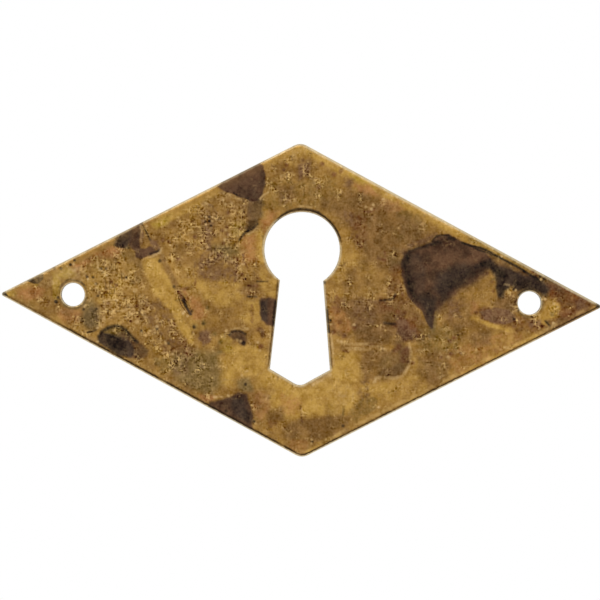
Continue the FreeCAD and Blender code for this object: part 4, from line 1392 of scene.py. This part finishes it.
@dataclass(frozen=True)
class EdgeLightAndShade:
    """Painted light and shade on the edges of the front: the plate's own, the keyhole's and the pin holes'.
    The upper edges get a painted highlight, the lower edges a painted dark line of shade beside a bright band
    and a pale lip, the keyhole painted shade over its round end and down its slot, and the pin holes a ring
    of painted shadow; the keyhole and the pin holes have pale lips.

    The steps read millimetres: in from the edge, across the plate or up it. Those called breaks read a noise.
    """

    # Painted highlight on the upper edges; also the pale lips.
    light: Colour = shade(216, 202, 166)
    # Painted shade: the dark line on the lower edges and in the keyhole.
    dirt: Colour = shade(42, 27, 12)
    # Painted shadow round the pin holes.
    pin_shadow_tone: Colour = shade(84, 68, 44)
    bright: Colour = BRIGHT_BRASS
    lifted: Colour = LIGHT_BRASS
    wander: float = 0.12
    shown_on_crust: float = 0.3
    lower: Step = Step(0.1, -0.4)
    left: Step = Step(2.0, -2.0)
    lifted_edge: Step = Step(1.1, 0.5)
    lifted_share: float = 0.45
    highlight_narrowing: Step = Step(-1.0, 1.0, 0.0, 0.05)
    highlight_edge: Step = Step(0.31, 0.05, 0.0, 0.7)
    highlight_breaks: Step = Step(0.3, 0.55, 0.6, 1.0)
    band_outer: Step = Step(0.34, 0.46)
    band_inner: Step = Step(0.9, 0.55)
    band_across: Step = Step(-2.0, 3.0, 0.1, 0.32)
    band_breaks: Step = Step(0.4, 0.62, 0.1, 1.0)
    shade_narrowing: Step = Step(-1.0, 1.0, 0.0, 0.06)
    shade_outer: Step = Step(0.1, 0.17)
    shade_inner: Step = Step(0.42, 0.29)
    shade_breaks: Step = Step(0.3, 0.55, 0.5, 0.9)
    shade_across: Step = Step(-29.0, -22.0, 0.35, 1.0)
    lip_edge: Step = Step(0.18, 0.08, 0.0, 0.78)
    lip_across: Step = Step(22.0, 28.0, 1.0, 0.25)
    bow_lean: float = 0.4
    bow_shade: Step = Step(6.9, 8.4, 0.0, 0.85)
    slot_foot: Step = Step(-7.4, -6.9)
    slot_top: Step = Step(2.2, 1.6)
    slot_across: Step = Step(-1.0, 1.0, 0.55, 0.14)
    keyhole_shade_outer: Step = Step(0.06, 0.13)
    keyhole_shade_inner: Step = Step(0.36, 0.22)
    keyhole_shade_breaks: Step = Step(0.3, 0.6, 0.7, 1.0)
    keyhole_lip_width: Step = Step(0.0, 0.3, 0.34, 0.16)
    keyhole_lip: Step = Step(1.0, 0.1, 0.0, 0.56)
    pin_shadow_outer: Step = Step(0.12, 0.22)
    pin_shadow_inner: Step = Step(0.5, 0.3)
    pin_shadow_breaks: Step = Step(0.35, 0.6, 0.1, 0.45)
    pin_lip: Step = Step(0.17, 0.03, 0.0, 0.6)

    def add(self, ground: Ground, colour: Feed) -> Socket:
        """Adds every edge, with its painted highlight and shade.

        Args:
            ground: What the details read.
            colour: The colour so far.

        Returns:
            The new colour.
        """
        wiring = ground.wiring
        uneven = wiring.times(wiring.minus(ground.fine[2], NOISE_MIDDLE), self.wander)
        clean = wiring.blend(self.shown_on_crust, ground.bare, 1.0)
        inward = wiring.plus(wiring.attribute("rim_distance"), uneven)
        lower = wiring.ramp(ground.up, self.lower)
        colour = self.lift_and_highlight_upper_edges(ground, colour, inward, lower, clean)
        colour = self.shade_and_band_lower_edges(ground, colour, inward, lower)
        keyhole = wiring.plus(wiring.attribute("keyhole_distance"), uneven)
        colour = self.shade_keyhole(ground, colour, keyhole, clean)
        pins = wiring.plus(wiring.attribute("pin_distance"), uneven)
        return self.shadow_pin_holes(ground, colour, pins)

    def lift_and_highlight_upper_edges(self, ground: Ground, colour: Feed, inward: Feed, lower: Feed,
                         clean: Feed) -> Socket:
        """Lifts the upper left edge a little, and rubs the upper edges bright.

        Args:
            ground: What the details read.
            colour: The colour so far.
            inward: How far in from the plate's edge the place is.
            lower: 1 on the plate's lower half.
            clean: How much of the painted highlight shows, less on crust.

        Returns:
            The new colour.
        """
        wiring = ground.wiring
        upper = wiring.minus(1.0, lower)
        lifted = wiring.times(wiring.ramp(inward, self.lifted_edge), upper,
                              wiring.ramp(ground.across, self.left),
                              self.lifted_share, ground.bare)
        colour = wiring.mix(lifted, colour, self.lifted)
        # Painted highlight along the upper edges, less on crust.
        narrowed = wiring.minus(inward, wiring.ramp(ground.across, self.highlight_narrowing))
        worn = wiring.times(wiring.ramp(narrowed, self.highlight_edge), upper,
                            wiring.ramp(ground.middling[2], self.highlight_breaks), clean)
        return wiring.mix(worn, colour, self.light)

    def shade_and_band_lower_edges(self, ground: Ground, colour: Feed, inward: Feed, lower: Feed) -> Socket:
        """Adds the lower edges' bright band, the painted dark line of shade outside it and the pale lip.

        Args:
            ground: What the details read.
            colour: The colour so far.
            inward: How far in from the plate's edge the place is.
            lower: 1 on the plate's lower half.

        Returns:
            The new colour.
        """
        wiring = ground.wiring
        side = wiring.times(wiring.ramp(ground.across, self.band_across),
                            wiring.ramp(ground.middling[0], self.band_breaks))
        band = wiring.times(wiring.between(inward, self.band_outer, self.band_inner), lower, side,
                            ground.bare)
        colour = wiring.mix(band, colour, self.bright)
        # Painted shade: a dark line along the lower edges.
        narrowed = wiring.plus(inward, wiring.ramp(ground.across, self.shade_narrowing))
        lower_shade = wiring.times(wiring.ramp(inward, self.shade_outer), wiring.ramp(narrowed, self.shade_inner),
                             wiring.ramp(ground.middling[1], self.shade_breaks),
                             wiring.ramp(ground.across, self.shade_across), lower)
        colour = wiring.mix(lower_shade, colour, self.dirt)
        lip = wiring.times(wiring.ramp(inward, self.lip_edge), lower,
                           wiring.ramp(ground.across, self.lip_across))
        return wiring.mix(lip, colour, self.light)

    def shade_keyhole(self, ground: Ground, colour: Feed, keyhole: Feed, clean: Feed) -> Socket:
        """Paints shade along the keyhole's slot and over its round end, and paints its lip pale.

        Args:
            ground: What the details read.
            colour: The colour so far.
            keyhole: How far from the keyhole's edge the place is.
            clean: How much of the pale lip shows, less on crust.

        Returns:
            The new colour.
        """
        wiring = ground.wiring
        # Painted shade over the top of the bow and down the slot, stronger on the slot's left.
        leaning = wiring.plus(ground.up, wiring.times(ground.across, self.bow_lean))
        slot = wiring.times(wiring.between(ground.up, self.slot_foot, self.slot_top),
                            wiring.ramp(ground.across, self.slot_across))
        shaded_part = wiring.maths("MAXIMUM", wiring.ramp(leaning, self.bow_shade), slot)
        keyhole_shade = wiring.times(wiring.between(keyhole, self.keyhole_shade_outer, self.keyhole_shade_inner),
                              wiring.ramp(ground.middling[2], self.keyhole_shade_breaks), shaded_part)
        colour = wiring.mix(keyhole_shade, colour, self.dirt)
        lip_width = wiring.ramp(shaded_part, self.keyhole_lip_width)
        lip = wiring.ramp(wiring.maths("DIVIDE", keyhole, lip_width), self.keyhole_lip)
        return wiring.mix(wiring.times(lip, clean), colour, self.light)

    def shadow_pin_holes(self, ground: Ground, colour: Feed, pins: Feed) -> Socket:
        """Rings the pin holes with painted shadow, and paints their lips pale.

        Args:
            ground: What the details read.
            colour: The colour so far.
            pins: How far from the nearest pin hole's edge the place is.

        Returns:
            The new colour.
        """
        wiring = ground.wiring
        # Painted shadow in a ring round the pin holes.
        pin_shadow = wiring.times(wiring.between(pins, self.pin_shadow_outer, self.pin_shadow_inner),
                              wiring.ramp(ground.middling[0], self.pin_shadow_breaks))
        colour = wiring.mix(pin_shadow, colour, self.pin_shadow_tone)
        return wiring.mix(wiring.ramp(pins, self.pin_lip), colour, self.light)


@dataclass(frozen=True)
class AgedBrassFace:
    """The finish of the front: mottled brass under the films, with its grain and its edges' painted
    highlights and shade.
    """

    effects: SurfaceEffects
    grain: FineGrain = FineGrain()
    rims: EdgeLightAndShade = EdgeLightAndShade()
    light_brass: Colour = LIGHT_BRASS
    dark_brass: Colour = shade(121, 87, 42)
    metallic: float = 0.9
    roughness: float = 0.42
    specular: float = 0.2
    broad: Mottle = Mottle(5.0, 3.0)
    middling: Mottle = Mottle(1.3, 3.0, 0.6)
    fine: Mottle = Mottle(0.4, 1.0)
    cloud_share: float = 0.5
    cloud: Step = Step(0.32, 0.68)
    film_mottle: Step = Step(0.34, 0.66)
    crust_cover: float = 0.85
    relief: float = 0.012 * MM
    crusts: tuple[Film, ...] = (Film.STAIN, Film.SLATE, Film.BLACK)

    def build(self) -> bpy.types.Material:
        """Builds the material.

        Returns:
            The material.
        """
        wiring, shader, material = start_material("aged_brass_face")
        place = place_in_millimetres(wiring)
        broad = wiring.noise(place, self.broad)
        middling = wiring.noise(place, self.middling)
        fine = wiring.noise(place, self.fine)
        clouds = wiring.plus(wiring.times(broad[0], self.cloud_share),
                             wiring.times(middling[0], self.cloud_share))
        colour = wiring.mix(wiring.ramp(clouds, self.cloud), self.dark_brass, self.light_brass)
        metallic: Feed = self.metallic
        roughness: Feed = self.roughness
        crusted: Feed = 0.0
        patterns = (middling[1], middling[2], fine[1], fine[2])
        for number, (film, look) in enumerate(FILM_LOOKS.items()):
            edge = place_group(wiring, self.effects.film_edge, Cover=wiring.attribute(film.value),
                               Pattern=patterns[number % len(patterns)], Ragged=look.ragged)
            share = wiring.times(edge.outputs["Mask"], look.opacity)
            mottle = wiring.ramp(middling[(number + 1) % len(middling)], self.film_mottle)
            colour = wiring.mix(share, colour, wiring.mix(mottle, look.dark, look.light))
            metallic = wiring.blend(share, metallic, look.metallic)
            roughness = wiring.blend(share, roughness, look.roughness)
            if film in self.crusts:
                crusted = wiring.maths("MAXIMUM", crusted, share)
        bare = wiring.minus(1.0, wiring.times(crusted, self.crust_cover))
        parts = wiring.add("ShaderNodeSeparateXYZ")
        wiring.feed(parts.inputs[0], place)
        ground = Ground(wiring, place, fine, middling, bare, parts.outputs["X"], parts.outputs["Z"])
        colour, height = self.grain.add(ground, self.effects, colour)
        wiring.feed(shader.inputs["Base Color"], self.rims.add(ground, colour))
        wiring.feed(shader.inputs["Metallic"], metallic)
        wiring.feed(shader.inputs["Roughness"], roughness)
        shader.inputs["Specular IOR Level"].default_value = self.specular
        add_relief(wiring, shader, height, self.relief)
        return material


@dataclass(frozen=True)
class TarnishedBack:
    """The finish of the back: even dull tarnish that was never rubbed."""

    effects: SurfaceEffects
    light: Colour = shade(138, 108, 66)
    dark: Colour = shade(92, 68, 42)
    spot: Colour = shade(58, 42, 30)
    broad: Mottle = Mottle(7.0, 4.0, 0.6)
    fine: Mottle = Mottle(0.6, 3.0, 0.6)
    cloud: Step = Step(0.36, 0.66)
    dulling: Step = Step(0.5, 0.75, 0.0, 0.4)
    speck_size: float = 0.9
    speck_share: float = 0.3
    speck_strength: float = 0.45
    scratch_reach: float = 0.64
    scratch_strength: float = 0.3
    sheen: Step = Step(0.3, 0.7, 0.42, 0.6)
    metallic: float = 0.75
    relief: float = 0.01 * MM

    def build(self) -> bpy.types.Material:
        """Builds the material.

        Returns:
            The material.
        """
        wiring, shader, material = start_material("tarnished_back")
        place = place_in_millimetres(wiring)
        broad = wiring.noise(place, self.broad)
        fine = wiring.noise(place, self.fine)
        colour = wiring.mix(wiring.ramp(broad[0], self.cloud), self.dark, self.light)
        colour = wiring.mix(wiring.ramp(fine[0], self.dulling), colour, self.dark)
        specks = place_group(wiring, self.effects.speckle, Vector=place, Size=self.speck_size,
                             Share=self.speck_share)
        colour = wiring.mix(wiring.times(specks.outputs["Mask"], self.speck_strength), colour, self.spot)
        hatching = place_group(wiring, self.effects.hatching, Vector=place, Reach=self.scratch_reach)
        colour = wiring.mix(wiring.times(hatching.outputs["Light"], self.scratch_strength), colour,
                            self.light)
        wiring.feed(shader.inputs["Base Color"], colour)
        wiring.feed(shader.inputs["Roughness"], wiring.ramp(broad[1], self.sheen))
        shader.inputs["Metallic"].default_value = self.metallic
        add_relief(wiring, shader, fine[1], self.relief)
        return material


@dataclass(frozen=True)
class CutEdge:
    """The finish of the sheet's cut edge, all round it and in its openings."""

    effects: SurfaceEffects
    light: Colour = shade(132, 98, 54)
    dark: Colour = shade(62, 42, 24)
    drag: Mottle = Mottle(0.5, 3.0, 0.6, (1.0, 0.25, 1.0))
    cloud: Step = Step(0.35, 0.65)
    speck_size: float = 0.5
    speck_share: float = 0.3
    speck_strength: float = 0.5
    sheen: Step = Step(0.3, 0.7, 0.4, 0.6)
    metallic: float = 0.8
    relief: float = 0.01 * MM

    def build(self) -> bpy.types.Material:
        """Builds the material.

        Returns:
            The material.
        """
        wiring, shader, material = start_material("cut_edge")
        place = place_in_millimetres(wiring)
        drag = wiring.noise(place, self.drag)
        colour = wiring.mix(wiring.ramp(drag[0], self.cloud), self.dark, self.light)
        specks = place_group(wiring, self.effects.speckle, Vector=place, Size=self.speck_size,
                             Share=self.speck_share)
        colour = wiring.mix(wiring.times(specks.outputs["Mask"], self.speck_strength), colour, self.dark)
        wiring.feed(shader.inputs["Base Color"], colour)
        wiring.feed(shader.inputs["Roughness"], wiring.ramp(drag[1], self.sheen))
        shader.inputs["Metallic"].default_value = self.metallic
        add_relief(wiring, shader, drag[2], self.relief)
        return material


class Side(Enum):
    """The sides of the sheet, each with a finish of its own, in the order of the piece's materials."""

    FACE = 0
    BACK = 1
    EDGE = 2


@dataclass
class EscutcheonPlate:
    """The stamped sheet: its front ruled fine and dented where it was knocked, and dressed in its films."""

    view: PhotoView
    stains: StainMap
    effects: SurfaceEffects
    node_name: str = "escutcheon_plate"
    cell: float = 0.5 * MM
    finest: float = 0.19 * MM
    halvings: int = 2
    most_corners: int = 4
    weld: float = 0.001 * MM
    flat_angle: float = 0.002
    crease: float = math.radians(40)
    face_turn: float = -0.02
    back_turn: float = 0.5
    front_share: float = 0.6
    wave: float = 0.02 * MM
    wave_size: float = 7.0
    dimple: float = 0.01 * MM
    dimple_size: float = 0.8
    pit: float = 0.03 * MM
    pit_size: float = 0.4
    pit_rarity: float = 0.1
    gouge_tear: float = 0.09 * MM
    gouge_size: float = 0.35
    gouge_start: float = 0.02 * MM
    gouge_facing: float = 0.5
    shell: bmesh.types.BMesh = field(default_factory=bmesh.new)
    outlines: list[np.ndarray] = field(default_factory=list)

    def build(self) -> bpy.types.Object:
        """Builds the piece.

        Returns:
            The dressed plate.
        """
        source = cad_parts[self.node_name]
        self.shell.from_mesh(source.data)
        bmesh.ops.remove_doubles(self.shell, verts=self.shell.verts, dist=self.weld)
        bmesh.ops.dissolve_limit(self.shell, angle_limit=self.flat_angle, verts=self.shell.verts,
                                 edges=self.shell.edges)
        self.outlines = self.find_outlines()
        self.rule_face()
        self.press_dents()
        bmesh.ops.recalc_face_normals(self.shell, faces=self.shell.faces)
        mesh = bpy.data.meshes.new("aged_plate")
        self.sort_sides()
        self.shell.to_mesh(mesh)
        self.shell.free()
        mesh.set_sharp_from_angle(angle=self.crease)
        piece = bpy.data.objects.new("aged_plate", mesh)
        bpy.context.collection.objects.link(piece)
        self.lay_films(mesh)
        for finish in (AgedBrassFace(self.effects), TarnishedBack(self.effects), CutEdge(self.effects)):
            mesh.materials.append(finish.build())
        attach(piece, "root")
        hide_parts(self.node_name)
        return piece

    def face_part(self) -> list[bmesh.types.BMFace]:
        """Lists the faces of the front and of the rolled edges round it."""
        return [face for face in self.shell.faces if self.side_of(face) is Side.FACE]

    def split_crowded(self) -> None:
        """Splits the front's faces of more than four corners into triangles."""
        crowded = [face for face in self.face_part() if len(face.verts) > self.most_corners]
        bmesh.ops.triangulate(self.shell, faces=crowded)

    def rule_face(self) -> None:
        """Rules the front into small squares, and halves what is still long."""
        low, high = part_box(self.node_name)
        for axis in (0, 2):
            count = round((high[axis] - low[axis]) / self.cell)
            across = Vector((axis == 0, 0, axis == 2))
            for number in range(1, count):
                cut = low[axis] + (high[axis] - low[axis]) * number / count
                faces = self.face_part()
                edges = {edge for face in faces for edge in face.edges}
                verts = {vert for face in faces for vert in face.verts}
                bmesh.ops.bisect_plane(self.shell, geom=[*verts, *edges, *faces], dist=self.weld,
                                       plane_co=across * cut, plane_no=across)
        self.split_crowded()
        for _ in range(self.halvings):
            long_edges = {edge for face in self.face_part() for edge in face.edges
                          if edge.calc_length() > self.finest}
            bmesh.ops.subdivide_edges(self.shell, edges=list(long_edges), cuts=1, use_grid_fill=True)
            self.split_crowded()

    def press_dents(self) -> None:
        """Presses the sheet's shallow waves, dimples, pits and the gouge's torn floor into the front."""
        low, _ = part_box(self.node_name)
        self.shell.normal_update()
        verts = [vert for vert in self.shell.verts if vert.co.y < low.y * self.front_share]
        spots = np.array([(vert.co.x, vert.co.z) for vert in verts]) / MM
        pitted = np.clip(self.stains.cover(spots)[Film.PITS], 0.0, 1.0)
        for vert, pitting in zip(verts, pitted):
            place = vert.co / MM
            facing = max(0.0, -vert.normal.y) ** 2
            sunk = vert.co.y - low.y
            depth = self.wave * noise.noise(place / self.wave_size)
            depth += self.dimple * noise.noise(place / self.dimple_size)
            depth += self.pit * pitting * max(0.0, noise.noise(place / self.pit_size) - self.pit_rarity)
            if sunk > self.gouge_start and facing > self.gouge_facing:
                depth += self.gouge_tear * noise.noise(place / self.gouge_size)
            vert.co.y += facing * (depth + self.wave)

    def side_of(self, face: bmesh.types.BMFace) -> Side:
        """Returns the side of the sheet that a face belongs to."""
        if face.normal.y < self.face_turn:
            return Side.FACE
        return Side.BACK if face.normal.y > self.back_turn else Side.EDGE

    def sort_sides(self) -> None:
        """Gives each face the finish of its side, and smooth shading."""
        for face in self.shell.faces:
            face.material_index = self.side_of(face).value
            face.smooth = True

    def lay_films(self, mesh: bpy.types.Mesh) -> None:
        """Writes every film's cover on the mesh, and how far the rim, the keyhole and the pin holes are.

        Args:
            mesh: The finished mesh.
        """
        places = np.empty(len(mesh.vertices) * 3, dtype=np.float32)
        mesh.vertices.foreach_get("co", places)
        spots = places.reshape(-1, 3)[:, (0, 2)] / MM
        for film, cover in self.stains.cover(spots).items():
            self.write_values(mesh, film.value, cover)
        rim, keyhole, *pins = self.outlines
        for name, loops in (("rim_distance", [rim]), ("keyhole_distance", [keyhole]), ("pin_distance", pins)):
            away = np.full(len(spots), np.inf)
            for loop in loops:
                for start, end in zip(loop[:-1], loop[1:]):
                    away = np.minimum(away, distance_to_run(spots, start, end))
            self.write_values(mesh, name, away)

    def find_outlines(self) -> list[np.ndarray]:
        """Follows the loops in which the back meets the cut edge.

        Returns:
            The loops, the longest first, as rows of x and z in millimetres.
        """
        border = [edge for edge in self.shell.edges
                  if {self.side_of(face) for face in edge.link_faces} == {Side.BACK, Side.EDGE}]
        loops = []
        while border:
            first = border.pop()
            run = list(first.verts)
            while onward := next((edge for edge in run[-1].link_edges if edge in border), None):
                border.remove(onward)
                run.append(onward.other_vert(run[-1]))
            loops.append(np.array([(vert.co.x, vert.co.z) for vert in run]) / MM)
        return sorted(loops, key=lambda loop: float(np.hypot(*np.diff(loop, axis=0).T).sum()), reverse=True)

    @staticmethod
    def write_values(mesh: bpy.types.Mesh, name: str, values: np.ndarray) -> None:
        """Writes a value for every vertex.

        Args:
            mesh: The mesh to write on.
            name: The attribute's name.
            values: The values, in the vertices' order.
        """
        attribute = mesh.attributes.new(name, "FLOAT", "POINT")
        attribute.data.foreach_set("value", values.astype(np.float32))


@dataclass(frozen=True)
class SoftLamp:
    """A square soft lamp: where it hangs, the length of its side in metres and its power in watts."""

    name: str
    place: tuple[float, float, float]
    size: float
    power: float

    def hang(self) -> None:
        """Hangs the lamp, pointed at the plate."""
        light = bpy.data.lights.new(self.name, "AREA")
        light.size = self.size
        light.energy = self.power
        lamp = bpy.data.objects.new(self.name, light)
        place = Vector(self.place)
        lamp.matrix_world = Matrix.Translation(place) @ (-place).to_track_quat("-Z", "Y").to_matrix().to_4x4()
        bpy.context.collection.objects.link(lamp)


@dataclass
class Studio:
    """The white room: a floor, an even sky, two soft lamps and the camera."""

    view: PhotoView
    lamps: tuple[SoftLamp, ...] = (
        SoftLamp("key_lamp", (-0.2, -0.42, 0.55), 0.6, 1.4),
        SoftLamp("fill_lamp", (0.35, -0.45, 0.12), 0.4, 0.4),
    )
    floor_drop: float = 0.05
    floor_radius: float = 0.14
    floor_sides: int = 96
    floor_colour: Colour = (0.9, 0.9, 0.9, 1.0)
    floor_roughness: float = 0.9
    floor_glow: float = 0.37
    white: Colour = (1.0, 1.0, 1.0, 1.0)
    sky_level: float = 0.55
    lens: float = 200.0
    sensor: float = 36.0
    nearest: float = 0.01

    def build(self) -> None:
        """Builds the floor, the light and the camera, and sets how colours are shown."""
        self.lay_floor()
        self.light_sky()
        for lamp in self.lamps:
            lamp.hang()
        self.set_camera()
        bpy.context.scene.view_settings.view_transform = "Standard"

    def lay_floor(self) -> None:
        """Lays the round floor below the plate, with a glow of its own that keeps it nearly white."""
        disc = bmesh.new()
        bmesh.ops.create_circle(disc, cap_ends=True, segments=self.floor_sides, radius=self.floor_radius)
        bmesh.ops.translate(disc, verts=disc.verts, vec=(0.0, 0.0, -self.floor_drop))
        mesh = bpy.data.meshes.new("floor")
        disc.to_mesh(mesh)
        disc.free()
        floor = bpy.data.objects.new("floor", mesh)
        bpy.context.collection.objects.link(floor)
        wiring, shader, material = start_material("pale_floor")
        shader.inputs["Base Color"].default_value = self.floor_colour
        shader.inputs["Roughness"].default_value = self.floor_roughness
        shader.inputs["Emission Color"].default_value = self.white
        wiring.feed(shader.inputs["Emission Strength"], wiring.times(self.seen(wiring), self.floor_glow))
        mesh.materials.append(material)

    def seen(self, wiring: Wiring) -> Socket:
        """Finds whether the camera sees a spot, straight on, in the metal or through glass.

        Args:
            wiring: The wiring of the material or the world.

        Returns:
            1 where it does, and 0 elsewhere.
        """
        path = wiring.add("ShaderNodeLightPath")
        direct = wiring.maths("MAXIMUM", path.outputs["Is Camera Ray"], path.outputs["Is Glossy Ray"])
        return wiring.maths("MAXIMUM", direct, path.outputs["Is Transmission Ray"])

    def light_sky(self) -> None:
        """Lights the world evenly, and shows it white to the camera and to the metal."""
        world = bpy.data.worlds.new("even_sky")
        bpy.context.scene.world = world
        world.use_nodes = True
        wiring = Wiring(world.node_tree)
        sky = next(node for node in world.node_tree.nodes if node.type == "BACKGROUND")
        sky.inputs["Color"].default_value = self.white
        wiring.feed(sky.inputs["Strength"], wiring.blend(self.seen(wiring), self.sky_level, 1.0))

    def set_camera(self) -> None:
        """Sets the camera square to the plate, as far off as the photograph's framing needs."""
        low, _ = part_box("escutcheon_plate")
        width = self.view.across * self.view.pixel
        distance = width * self.lens / self.sensor
        x, z = self.view.place(self.view.middle, self.view.middle)
        data = bpy.data.cameras.new("camera")
        data.lens = self.lens
        data.sensor_width = self.sensor
        data.clip_start = self.nearest
        camera = bpy.data.objects.new("camera", data)
        upright = Euler((math.radians(90), 0.0, 0.0)).to_matrix().to_4x4()
        roll = Matrix.Rotation(self.view.turn, 4, "Z")
        camera.matrix_world = Matrix.Translation((x, low.y - distance, z)) @ upright @ roll
        bpy.context.collection.objects.link(camera)
        bpy.context.scene.camera = camera


def main() -> None:
    """Builds the studio and the plate, and reports each piece."""
    logging.basicConfig(level=logging.INFO, format="%(name)s: %(message)s")
    view = PhotoView()
    Studio(view).build()
    plate = EscutcheonPlate(view, StainMap(view), SurfaceEffects.build())
    piece = plate.build()
    LOG.info("%s: %d faces, %d marks", piece.name, len(piece.data.polygons), len(ALL_MARKS))


if __name__ == "__main__":
    main()
